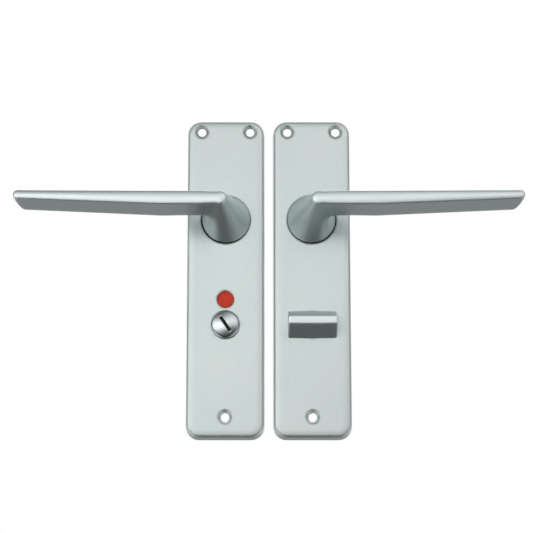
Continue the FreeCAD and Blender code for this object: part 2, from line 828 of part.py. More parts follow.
def whole_set():
    """Every piece by name, in its place."""
    pieces = {
        "outside_plate": drilled_plate(True),
        "inside_plate": moved(drilled_plate(False), plate_pitch, 0),
    }
    for name, shape in lever_unit().items():
        pieces["outside_" + name] = shape
        pieces["inside_" + name] = moved(mirrored(shape), plate_pitch, 0)
    pieces["lever_spindle"] = moved(lever_spindle(), plate_pitch, 0)
    outside_bolt = {
        "coin_release": coin_release(),
        "release_bush": knob_bush(),
        "indicator_disc": indicator_disc(),
        "indicator_red_field": indicator_field(bolt_travel),
        "indicator_green_field": indicator_field(0),
        "release_washer": shank_washer(release_washer_front),
        "release_circlip": circlip(shank_radius, release_groove_front + groove_side_gap, 180),
    }
    inside_bolt = {
        "thumb_turn": thumb_turn(),
        "turn_bush": knob_bush(),
        "turn_washer": shank_washer(turn_washer_front),
        "turn_circlip": circlip(shank_radius, turn_groove_front + groove_side_gap, 270),
        "turn_spindle": turn_spindle(),
        "turn_roll_pin": roll_pin(),
    }
    for name, shape in outside_bolt.items():
        pieces[name] = moved(shape, 0, -bolt_drop)
    for name, shape in inside_bolt.items():
        pieces[name] = moved(shape, plate_pitch, -bolt_drop)
    return pieces


def export_set():
    """Write one STEP file per piece and print what each measures."""
    os.makedirs("parts", exist_ok=True)
    print("least gap of the return spring to itself, mm:", round(spring_gap(), 3))
    for name, shape in whole_set().items():
        box = shape.optimalBoundingBox()
        print(
            name, "solids", len(shape.Solids), "valid", shape.isValid(), "volume", round(shape.Volume, 1),
            "low", [round(value, 2) for value in (box.XMin, box.YMin, box.ZMin)],
            "high", [round(value, 2) for value in (box.XMax, box.YMax, box.ZMax)]
        )
        shape.exportStep("parts/" + name + ".step")


export_set()
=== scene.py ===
"""Bathroom door lever set on short backplates: its finishes, soft-edged pieces and studio.

The frame is in metres: +X to the right along the pair, +Z up along the plates,
and the front faces look towards -Y. The outside set is on the left, and the
inside set, its mirror image in everything but the bolt fittings, is on the right.
"""
import logging
import math
from dataclasses import dataclass
from enum import Enum
from typing import Any, Callable, Iterable, Optional, Sequence, Union

import bmesh
import bpy
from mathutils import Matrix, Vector


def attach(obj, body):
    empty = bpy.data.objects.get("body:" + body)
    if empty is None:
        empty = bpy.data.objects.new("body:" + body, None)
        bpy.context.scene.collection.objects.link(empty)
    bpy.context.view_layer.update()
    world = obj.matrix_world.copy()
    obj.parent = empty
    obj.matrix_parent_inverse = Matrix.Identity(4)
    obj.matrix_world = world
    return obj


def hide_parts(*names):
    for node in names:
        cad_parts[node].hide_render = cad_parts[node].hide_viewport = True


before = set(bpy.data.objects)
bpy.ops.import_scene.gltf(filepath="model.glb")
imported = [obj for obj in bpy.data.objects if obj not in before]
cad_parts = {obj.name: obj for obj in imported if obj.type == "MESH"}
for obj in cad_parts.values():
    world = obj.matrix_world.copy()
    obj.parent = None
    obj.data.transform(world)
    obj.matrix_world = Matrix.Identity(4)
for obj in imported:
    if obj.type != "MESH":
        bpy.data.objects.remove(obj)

log = logging.getLogger("lever_set")

MM = 0.001
NEAR = 0.01 * MM
PLATE_PITCH = 50.7 * MM
BOLT_DROP = 63.0 * MM

Pair = tuple[float, float]
Triple = tuple[float, float, float]
Shares = tuple[float, ...]
Stops = Sequence[tuple[float, Any]]
Place = Sequence[float]
Points = Sequence[Vector]
Rows = list[list[Vector]]
Material = bpy.types.Material
Output = bpy.types.NodeSocket


class Side(Enum):
    """Which of the two plates a piece belongs to."""

    OUTSIDE = "outside"
    INSIDE = "inside"


class Kind(Enum):
    """What can be picked of a mesh, in the order of Blender's select modes."""

    CORNERS = "verts"
    EDGES = "edges"
    FACES = "faces"


class Signal:
    """A number that changes over a surface, used in ordinary arithmetic."""

    def __init__(self, sheet: "NodeSheet", socket: Output) -> None:
        """Wraps an output of a node that stands on the sheet."""
        self.sheet = sheet
        self.socket = socket

    def __add__(self, other: "Number") -> "Signal":
        """Returns: this plus the other."""
        return self.sheet.math("ADD", self, other)

    __radd__ = __add__

    def __sub__(self, other: "Number") -> "Signal":
        """Returns: this less the other."""
        return self.sheet.math("SUBTRACT", self, other)

    def __rsub__(self, other: float) -> "Signal":
        """Returns: the other less this."""
        return self.sheet.math("SUBTRACT", other, self)

    def __mul__(self, other: "Number") -> "Signal":
        """Returns: this times the other."""
        return self.sheet.math("MULTIPLY", self, other)

    def __truediv__(self, other: "Number") -> "Signal":
        """Returns: this divided by the other."""
        return self.sheet.math("DIVIDE", self, other)

    def __pow__(self, other: "Number") -> "Signal":
        """Returns: this to the other's power."""
        return self.sheet.math("POWER", self, other)

    def swing(self, reach: float) -> "Signal":
        """Returns: this noise less its middle, times a reach."""
        return (self - 0.5) * reach

    def smooth_between(self, low: float, high: float) -> "Signal":
        """Soft step from 0 at one value to 1 at another.

        Args:
            low: value where the step starts.
            high: value where the step ends.

        Returns:
            The step as a signal.
        """
        settings = {"interpolation_type": "SMOOTHSTEP"}
        inputs = {"Value": self, "From Min": low, "From Max": high}
        return Signal(self.sheet, self.sheet.node("ShaderNodeMapRange", settings, inputs).outputs["Result"])


Number = Union[Signal, float]


class NodeSheet:
    """Node tree of one material or of the world, filled through a few methods.

    The Mix node has sockets for several types of value, and mix_colours and mixed_colour
    are the numbers of those for colours.
    """

    bevel_samples: int = 6
    mix_colours: tuple[int, int] = (6, 7)
    mixed_colour: int = 2

    def __init__(self, tree: bpy.types.NodeTree) -> None:
        """Empties the tree, for the sheet to fill."""
        self.tree = tree
        tree.nodes.clear()

    def node(self, kind: str, settings: dict[str, Any], inputs: dict[Any, Any]) -> bpy.types.Node:
        """Adds a node.

        Args:
            kind: Blender's name for the node's type.
            settings: attributes set before the sockets; "stops" fills a colour ramp.
            inputs: value, signal or output for each named or numbered socket.

        Returns:
            The new node.
        """
        node = self.tree.nodes.new(kind)
        for name, value in settings.items():
            if name == "stops":
                self._fill_ramp(node.color_ramp, value)
            else:
                setattr(node, name, value)
        for name, value in inputs.items():
            socket = node.inputs[name]
            if isinstance(value, Signal):
                self.tree.links.new(value.socket, socket)
            elif isinstance(value, Output):
                self.tree.links.new(value, socket)
            else:
                socket.default_value = value
        return node

    @staticmethod
    def _fill_ramp(ramp: bpy.types.ColorRamp, stops: Stops) -> None:
        """Sets a colour ramp's stops.

        Args:
            ramp: the ramp.
            stops: place and grey value or colour of each stop, in order.
        """
        while len(ramp.elements) > 1:
            ramp.elements.remove(ramp.elements[-1])
        for index, (place, shade) in enumerate(stops):
            element = ramp.elements[0] if index == 0 else ramp.elements.new(place)
            element.position = place
            element.color = rgba(shade)

    def math(self, operation: str, *values: Number) -> Signal:
        """Returns: what a Math node makes of its operands."""
        node = self.node("ShaderNodeMath", {"operation": operation}, dict(enumerate(values)))
        return Signal(self, node.outputs[0])

    def vector(self, operation: str, *values: Any) -> Output:
        """Returns: what a Vector Math node makes of its operands."""
        node = self.node("ShaderNodeVectorMath", {"operation": operation}, dict(enumerate(values)))
        return node.outputs[0]

    def combined(self, *parts: Number) -> Output:
        """Returns: one vector or colour of three numbers."""
        return self.node("ShaderNodeCombineXYZ", {}, dict(enumerate(parts))).outputs[0]

    def ramp(self, signal: Signal, stops: Stops) -> Output:
        """Returns: the colour at the signal's place among the stops."""
        return self.node("ShaderNodeValToRGB", {"stops": stops}, {"Fac": signal}).outputs["Color"]

    def mix(self, factor: Number, first: Any, second: Any) -> Output:
        """Returns: a mix of two colours, where a factor of 0 gives the first."""
        inputs = {0: factor, **dict(zip(self.mix_colours, (rgba(first), rgba(second))))}
        return self.node("ShaderNodeMix", {"data_type": "RGBA"}, inputs).outputs[self.mixed_colour]

    def noise(self, place: Any, scale: float, detail: float = 2.0) -> Signal:
        """Returns: noise from about 0 to 1, with so many features in a metre."""
        inputs = {"Vector": place, "Scale": scale, "Detail": detail}
        return Signal(self, self.node("ShaderNodeTexNoise", {}, inputs).outputs[0])

    def stretched(self, place: Any, stretch: Triple) -> Output:
        """Returns: coordinates scaled along each axis, so that a pattern runs along one way."""
        return self.node("ShaderNodeMapping", {}, {"Vector": place, "Scale": stretch}).outputs[0]

    def object_place(self) -> Output:
        """Returns: the surface's coordinates in the object's own frame."""
        return self.node("ShaderNodeTexCoord", {}, {}).outputs["Object"]

    def axes(self, place: Any) -> tuple[Signal, Signal, Signal]:
        """Returns: the X, Y and Z of coordinates."""
        node = self.node("ShaderNodeSeparateXYZ", {}, {0: place})
        return tuple(Signal(self, output) for output in node.outputs)

    def softened(self, radius: float) -> Output:
        """Returns: the normal, with edges rounded to a radius in metres."""
        return self.node("ShaderNodeBevel", {"samples": self.bevel_samples}, {"Radius": radius}).outputs[0]

    def bump(self, height: Signal, depth: float, strength: float, normal: Optional[Output] = None) -> Output:
        """Raises the surface a little.

        Args:
            height: the relief, 0 to 1.
            depth: how deep the relief is, in metres.
            strength: share of the relief that shows.
            normal: what the relief is added to, else the surface's own.

        Returns:
            The changed normal.
        """
        inputs = {"Height": height, "Distance": depth, "Strength": strength}
        if normal:
            inputs["Normal"] = normal
        return self.node("ShaderNodeBump", {}, inputs).outputs[0]

    def surface(self, inputs: dict[str, Any]) -> None:
        """Ends a material in one Principled shader with these inputs."""
        shader = self.node("ShaderNodeBsdfPrincipled", {}, inputs)
        self.node("ShaderNodeOutputMaterial", {}, {"Surface": shader.outputs[0]})


def rgba(colour: Any) -> Any:
    """Adds what a plain colour lacks.

    Args:
        colour: a grey value, three numbers, or an output that stays as it is.

    Returns:
        Four numbers, or the output.
    """
    if isinstance(colour, (int, float)):
        return (colour, colour, colour, 1.0)
    return (*colour, 1.0) if isinstance(colour, tuple) else colour


@dataclass(frozen=True)
class Finish:
    """A surface finish. Each kind fills its own sheet."""

    name: str

    def sheet(self) -> tuple[Material, NodeSheet]:
        """Starts a material with this finish's name.

        Returns:
            The material and its empty sheet.
        """
        material = bpy.data.materials.new(self.name)
        material.use_nodes = True
        return material, NodeSheet(material.node_tree)

    def build(self) -> Material:
        """Returns: the finished material."""
        raise NotImplementedError


@dataclass(frozen=True)
class EdgeRoll:
    """How the face of each of the two plates falls off to its outline, in metres."""

    middle: Pair = (PLATE_PITCH / 2, -34.35 * MM)
    plate_offset: float = PLATE_PITCH / 2
    half_size: Pair = (23.0 * MM, 95.35 * MM)
    corner: float = 8.0 * MM
    width: float = 5.4 * MM
    depth: float = 0.45 * MM

    def height(self, sheet: NodeSheet, place: Output) -> Signal:
        """Relief of the plates' faces.

        Args:
            sheet: sheet to draw it on.
            place: the surface's coordinates.

        Returns:
            1 on the face, falling to 0 at the outline.
        """
        x, _, z = sheet.axes(place)
        from_middle = sheet.math("ABSOLUTE", x - self.middle[0]) - self.plate_offset
        offsets = (from_middle, z - self.middle[1])
        past = [
            sheet.math("MAXIMUM", sheet.math("ABSOLUTE", offset) - (half - self.corner), 0.0)
            for offset, half in zip(offsets, self.half_size)
        ]
        inside = self.corner - sheet.math("SQRT", past[0] ** 2 + past[1] ** 2)
        missing = sheet.math("MAXIMUM", 1.0 - inside / self.width, 0.0)
        return 1.0 - missing ** 2


@dataclass(frozen=True)
class SatinAnodised(Finish):
    """Natural anodised aluminium: etched, even, with a fine grain and a faint cool tint."""

    colour: Triple = (0.80, 0.82, 0.81)
    cool_factors: Triple = (0.985, 1.0, 1.012)
    roughness: float = 0.40
    base_shade: float = 0.975
    grain_size: float = 0.55 * MM
    grain_detail: float = 3.0
    grain_depth: float = 0.010 * MM
    grain_strength: float = 0.6
    grain_shade: float = 0.13
    grain_roughness: float = 0.08
    drawn_scale: float = 900.0
    drawn_share: float = 0.3
    drawn_shade: float = 0.05
    draw_stretch: Triple = (1.0, 1.0, 0.12)
    cloud_scale: float = 28.0
    cloud_shade: float = 0.03
    cloud_roughness: float = 0.05
    edge_softness: float = 1.0 * MM
    edge_roll: Optional[EdgeRoll] = None

    def build(self) -> Material:
        """Builds the satin metal from a fine grain, drawn lines and broad clouds.

        Returns:
            The material.
        """
        material, sheet = self.sheet()
        place = sheet.object_place()
        grain = sheet.noise(place, 1.0 / self.grain_size, self.grain_detail)
        drawn = sheet.noise(sheet.stretched(place, self.draw_stretch), self.drawn_scale)
        cloud = sheet.noise(place, self.cloud_scale)
        shade = self.base_shade + cloud * self.cloud_shade
        shade = shade + grain.swing(self.grain_shade) + drawn.swing(self.drawn_shade)
        cool = tuple(value * factor for value, factor in zip(self.colour, self.cool_factors))
        tint = sheet.mix(cloud, self.colour, cool)
        relief = grain * (1 - self.drawn_share) + drawn * self.drawn_share
        normal = sheet.softened(self.edge_softness)
        if self.edge_roll:
            normal = sheet.bump(self.edge_roll.height(sheet, place), self.edge_roll.depth, 1.0, normal)
        roughness = self.roughness + cloud.swing(self.cloud_roughness) + grain.swing(self.grain_roughness)
        sheet.surface({
            "Base Color": sheet.vector("MULTIPLY", tint, sheet.combined(shade, shade, shade)),
            "Metallic": 1.0,
            "Roughness": roughness,
            "Normal": sheet.bump(relief, self.grain_depth, self.grain_strength, normal),
        })
        return material


@dataclass(frozen=True)
class TurnedFace(Finish):
    """Aluminium turned on a lathe, whose rings spread a highlight across them, with shade painted dark into
    its slot, which is also rougher.
    """

    colour: Triple = (0.60, 0.66, 0.665)
    roughness: float = 0.24
    middle: Pair = (0.0, -BOLT_DROP)
    middle_radius: float = 0.2 * MM
    ring_size: float = 0.14 * MM
    ring_swing: float = 0.14
    ring_shadow: float = 0.86
    ring_spread: Pair = (0.25, 0.7)
    coarse_size: float = 0.70 * MM
    coarse_swing: float = 0.042
    coarse_roughness: float = 0.08
    depth_stretch: float = 0.25
    dome_crown: float = -11.6 * MM
    dome_edge: float = -10.8 * MM
    dome_radius: float = 7.0 * MM
    # Painted shade: near black mixed into the base colour deep in the coin slot, where shade falls
    painted_slot_shade: Triple = (0.075, 0.072, 0.062)
    slot_roughness: float = 0.4
    slot_shade_depth: Pair = (0.12 * MM, 1.2 * MM)
    slot_reach: Pair = (0.86, 0.92)

    def build(self) -> Material:
        """Builds the turned metal, whose rings tilt the normal outwards and inwards.

        Returns:
            The material.
        """
        material, sheet = self.sheet()
        x, y, z = sheet.axes(sheet.object_place())
        across, up = x - self.middle[0], z - self.middle[1]
        radius = sheet.math("SQRT", across * across + up * up)
        along = sheet.combined(radius, y * self.depth_stretch, 0.0)
        rings = sheet.noise(along, 1.0 / self.ring_size)
        coarse = sheet.noise(along, 1.0 / self.coarse_size, 1.0)
        lean = rings.swing(self.ring_swing) + coarse.swing(self.coarse_swing)
        safe = sheet.math("MAXIMUM", radius, self.middle_radius)
        tilt = sheet.combined(across / safe * lean, 0.0, up / safe * lean)
        facing = sheet.node("ShaderNodeNewGeometry", {}, {}).outputs["Normal"]
        shadow = tuple(self.ring_shadow * value for value in self.colour)
        # Painted shade: within the slot's reach and below the dome's face, the base colour is mixed towards
        # near black, and the roughness rises there too
        part = radius / self.dome_radius
        depth = y - (part * part * (self.dome_edge - self.dome_crown) + self.dome_crown)
        inside = 1.0 - part.smooth_between(*self.slot_reach)
        slot = depth.smooth_between(*self.slot_shade_depth) * inside
        shade = sheet.ramp(rings, list(zip(self.ring_spread, (shadow, self.colour))))
        roughness = self.roughness + coarse.swing(self.coarse_roughness) + slot * self.slot_roughness
        sheet.surface({
            "Base Color": sheet.mix(slot, shade, self.painted_slot_shade),
            "Metallic": 1.0,
            "Roughness": roughness,
            "Normal": sheet.vector("NORMALIZE", sheet.vector("ADD", facing, tilt)),
        })
        return material


@dataclass(frozen=True)
class Mottled(Finish):
    """A finish whose colour, roughness and relief follow a fine and a broad noise."""

    deep: Triple
    pale: Triple
    spread: Pair
    fine_scale: float
    broad_scale: float
    fine_share: float
    relief_depth: float
    relief_strength: float
    roughness: float
    fine_swing: float = 0.0
    broad_swing: float = 0.0
    fine_detail: float = 3.0
    stretch: Triple = (1.0, 1.0, 1.0)
    metallic: float = 0.0
    specular: float = 0.5

    def build(self) -> Material:
        """Builds the mottled surface.

        Returns:
            The material.
        """
        material, sheet = self.sheet()
        place = sheet.object_place()
        fine = sheet.noise(sheet.stretched(place, self.stretch), self.fine_scale, self.fine_detail)
        broad = sheet.noise(place, self.broad_scale)
        both = fine * self.fine_share + broad * (1 - self.fine_share)
        sheet.surface({
            "Base Color": sheet.ramp(both, list(zip(self.spread, (self.deep, self.pale)))),
            "Metallic": self.metallic,
            "Specular IOR Level": self.specular,
            "Roughness": self.roughness + fine.swing(self.fine_swing) + broad.swing(self.broad_swing),
            "Normal": sheet.bump(fine, self.relief_depth, self.relief_strength),
        })
        return material


@dataclass(frozen=True)
class PlatedSteel(Mottled):
    """Steel with a thin plating or oxide, drawn along one way."""

    deep: Triple = (0.48, 0.50, 0.53)
    pale: Triple = (0.60, 0.62, 0.64)
    spread: Pair = (0.3, 0.65)
    fine_scale: float = 2600.0
    broad_scale: float = 420.0
    fine_share: float = 0.6
    relief_depth: float = 0.006 * MM
    relief_strength: float = 0.5
    roughness: float = 0.34
    broad_swing: float = 0.18
    stretch: Triple = (1.0, 0.05, 1.0)
    metallic: float = 1.0


@dataclass(frozen=True)
class MouldedPlastic(Mottled):
    """Matt moulded plastic with a fine spark-eroded texture."""

    deep: Triple = (0.022, 0.023, 0.024)
    pale: Triple = (0.034, 0.035, 0.036)
    spread: Pair = (0.3, 0.7)
    fine_scale: float = 1.0 / (0.30 * MM)
    broad_scale: float = 60.0
    fine_share: float = 0.5
    relief_depth: float = 0.02 * MM
    relief_strength: float = 0.6
    roughness: float = 0.55
    fine_swing: float = 0.2


@dataclass(frozen=True)
class PrintedFoil(Mottled):
    """Satin coloured foil on the indicator, a little uneven in its print."""

    deep: Triple = (0.86, 0.052, 0.018)
    pale: Triple = (0.92, 0.075, 0.030)
    spread: Pair = (0.35, 0.65)
    fine_scale: float = 1500.0
    broad_scale: float = 130.0
    fine_share: float = 0.35
    fine_detail: float = 2.0
    relief_depth: float = 0.006 * MM
    relief_strength: float = 0.4
    roughness: float = 0.50
    fine_swing: float = 0.12
    specular: float = 0.25


class Finishes:
    """Every finish of the set, built once."""

    def __init__(self) -> None:
        """Builds the materials."""
        sideways = (0.12, 1.0, 1.0)
        self.plate = SatinAnodised(
            "satin_plate", (0.735, 0.805, 0.785), roughness=0.42,
            edge_softness=1.6 * MM, edge_roll=EdgeRoll(),
        ).build()
        self.lever = SatinAnodised(
            "satin_lever", (0.765, 0.835, 0.832), roughness=0.36,
            grain_depth=0.004 * MM, draw_stretch=sideways,
        ).build()
        self.turn = SatinAnodised(
            "satin_turn", (0.745, 0.815, 0.805), roughness=0.36, draw_stretch=sideways
        ).build()
        self.turned = TurnedFace("turned_release").build()
        self.nylon = MouldedPlastic("black_nylon").build()
        self.white = MouldedPlastic(
            "white_plastic", (0.74, 0.74, 0.72), (0.80, 0.80, 0.78), roughness=0.45
        ).build()
        self.zinc = PlatedSteel("zinc_steel").build()
        self.oxide = PlatedSteel(
            "black_steel", (0.035, 0.035, 0.037), (0.060, 0.060, 0.064), roughness=0.42
        ).build()
        self.wire = PlatedSteel(
            "spring_steel", (0.20, 0.20, 0.21), (0.34, 0.34, 0.35), roughness=0.30
        ).build()
        self.red = PrintedFoil("red_foil").build()
        self.green = PrintedFoil("green_foil", (0.035, 0.27, 0.075), (0.05, 0.33, 0.10)).build()


def dress(material: Material, *nodes: str) -> None:
    """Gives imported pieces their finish.

    Args:
        material: the finish.
        nodes: the pieces' names.
    """
    for node in nodes:
        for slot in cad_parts[node].material_slots:
            slot.material = material
        log.info("%s takes %s", node, material.name)


class Workpiece:
    """A mesh shaped in edit mode, whose corners, edges and faces are picked in code."""

    rod_sides: int = 48
    smooth_degrees: float = 35.0

    def __init__(self, name: str) -> None:
        """Takes on the active object, fresh from its primitive.

        Args:
            name: the piece's name.
        """
        self.thing = bpy.context.object
        self.thing.name = name
        self.thing.data.name = name

    @staticmethod
    def put_down() -> None:
        """Leaves edit mode, with nothing selected."""
        if bpy.context.object and bpy.context.object.mode != "OBJECT":
            bpy.ops.object.mode_set(mode="OBJECT")
        bpy.ops.object.select_all(action="DESELECT")

    @classmethod
    def block(cls, name: str, low: Place, high: Place, turn: float = 0.0) -> "Workpiece":
        """Starts from a box between two corners.

        Args:
            name: the piece's name.
            low: its lowest corner.
            high: its highest corner.
            turn: degrees that it is then turned by, about the Y line through its middle.

        Returns:
            The box.
        """
        cls.put_down()
        low, high = Vector(low), Vector(high)
        bpy.ops.mesh.primitive_cube_add(
            size=1.0, location=(low + high) / 2, rotation=(0, math.radians(turn), 0), scale=high - low
        )
        return cls(name)

    @classmethod
    def rod(cls, name: str, radius: float, start: Place, end: Place) -> "Workpiece":
        """Starts from a cylinder between two points.

        Args:
            name: the piece's name.
            radius: its radius.
            start: middle of one end.
            end: middle of the other end.

        Returns:
            The cylinder.
        """
        cls.put_down()
        start, end = Vector(start), Vector(end)
        turn = (end - start).to_track_quat("Z", "Y").to_euler()
        bpy.ops.mesh.primitive_cylinder_add(
            vertices=cls.rod_sides, radius=radius, depth=(end - start).length,
            location=(start + end) / 2, rotation=turn,
        )
        return cls(name)

    @classmethod
    def lofted(cls, name: str, rows: Rows) -> "Workpiece":
        """Starts from a circle and extrudes it into a closed solid through rows of points.

        Args:
            name: the piece's name.
            rows: its rows, in millimetres.

        Returns:
            The solid.
        """
        rows = [[point * MM for point in row] for row in rows]
        cls.put_down()
        bpy.ops.mesh.primitive_circle_add(vertices=len(rows[0]), radius=rows[0][0].length)
        solid = cls(name)
        mesh = solid.edit()
        order = mesh.verts.layers.int.new("order")
        for index, corner in enumerate(mesh.verts):
            corner[order] = index
        solid.place(rows[0])
        solid.work(bpy.ops.mesh.edge_face_add)
        for row in rows[1:]:
            solid.extrude()
            solid.place(row)
        solid.work(bpy.ops.mesh.edge_face_add)
        solid.face_outwards()
        return solid

    def take_up(self) -> None:
        """Selects this piece alone and makes it active, out of edit mode."""
        self.put_down()
        bpy.context.view_layer.objects.active = self.thing
        self.thing.select_set(True)

    def edit(self) -> bmesh.types.BMesh:
        """Opens the piece in edit mode, unless it already is.

        Returns:
            The open mesh.
        """
        if self.thing.mode != "EDIT":
            self.take_up()
            bpy.ops.object.mode_set(mode="EDIT")
        return bmesh.from_edit_mesh(self.thing.data)

    def place(self, points: Points) -> None:
        """Moves the selected ring's corners to a row of points.

        Args:
            points: the row, in the first ring's order.
        """
        mesh = self.edit()
        order = mesh.verts.layers.int["order"]
        for corner in mesh.verts:
            if corner.select:
                corner.co = points[corner[order]]
        bmesh.update_edit_mesh(self.thing.data)

    def extrude(self) -> None:
        """Extrudes what is selected, and leaves it in place."""
        self.work(bpy.ops.mesh.extrude_region_move, TRANSFORM_OT_translate={"value": (0, 0, 0)})

    def move(self, spot: Callable[[Vector], Vector]) -> None:
        """Moves each selected corner.

        Args:
            spot: gives a corner's new place.
        """
        for corner in self.edit().verts:
            if corner.select:
                corner.co = spot(corner.co)
        bmesh.update_edit_mesh(self.thing.data)

    def pick(self, kind: Kind, test: Callable[[Any], bool]) -> None:
        """Selects only the corners, edges or faces that pass a test.

        Args:
            kind: which of the three are picked.
            test: what each one has to pass.
        """
        self.edit()
        bpy.context.tool_settings.mesh_select_mode = [mode is kind for mode in Kind]
        bpy.ops.mesh.select_all(action="DESELECT")
        mesh = self.edit()
        mesh.normal_update()
        chosen = [item for item in getattr(mesh, kind.value) if test(item)]
        for item in chosen:
            item.select_set(True)
        mesh.select_flush_mode()
        bmesh.update_edit_mesh(self.thing.data)

    def work(self, operator: Callable[..., Any], **settings: Any) -> None:
        """Runs one of Blender's mesh operators on what is selected."""
        self.edit()
        operator(**settings)

    def slice_off(self, place: Place, normal: Place) -> None:
        """Cuts away what lies beyond a plane, and closes the cut.

        Args:
            place: a point of the plane.
            normal: the way in which the waste lies.
        """
        self.edit()
        bpy.ops.mesh.select_all(action="SELECT")
        bpy.ops.mesh.bisect(
            plane_co=place, plane_no=normal, use_fill=True, clear_outer=True, threshold=0.1 * NEAR
        )

    def face_outwards(self) -> None:
        """Turns every face's normal outwards."""
        self.edit()
        bpy.ops.mesh.select_all(action="SELECT")
        bpy.ops.mesh.normals_make_consistent(inside=False)

    def cut(self, *tools: "Workpiece") -> None:
        """Cuts other pieces' shapes out of this one, and throws them away.

        Args:
            tools: the pieces that cut.
        """
        for tool in tools:
            self.take_up()
            bpy.ops.object.modifier_add(type="BOOLEAN")
            modifier = self.thing.modifiers[-1]
            modifier.operation = "DIFFERENCE"
            modifier.solver = "EXACT"
            modifier.object = tool.thing
            bpy.ops.object.modifier_apply(modifier=modifier.name)
            self.put_down()
            tool.thing.select_set(True)
            bpy.ops.object.delete()

    def mirrored(self, name: str, middle: float) -> "Workpiece":
        """Copies the piece to the other side of an upright plane.

        Args:
            name: the copy's name.
            middle: the plane's X.

        Returns:
            The copy, with a mesh of its own.
        """
        self.take_up()
        bpy.ops.object.duplicate()
        copy = Workpiece(name)
        copy.edit()
        bpy.ops.mesh.select_all(action="SELECT")
        bpy.ops.transform.resize(value=(-1, 1, 1), center_override=(middle, 0, 0))
        copy.face_outwards()
        self.put_down()
        return copy

    def finish(self, material: Material, body: str, slot: str, node: str) -> None:
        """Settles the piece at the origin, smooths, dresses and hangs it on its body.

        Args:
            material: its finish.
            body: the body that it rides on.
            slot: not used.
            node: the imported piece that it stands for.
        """
        self.take_up()
        bpy.ops.object.transform_apply(location=True, rotation=True, scale=True)
        bpy.ops.object.shade_smooth_by_angle(angle=math.radians(self.smooth_degrees))
        self.thing.data.materials.clear()
        self.thing.data.materials.append(material)
        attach(self.thing, body)
        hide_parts(node)
        self.put_down()
        log.info("%s stands for %s in %s", self.thing.name, node, material.name)


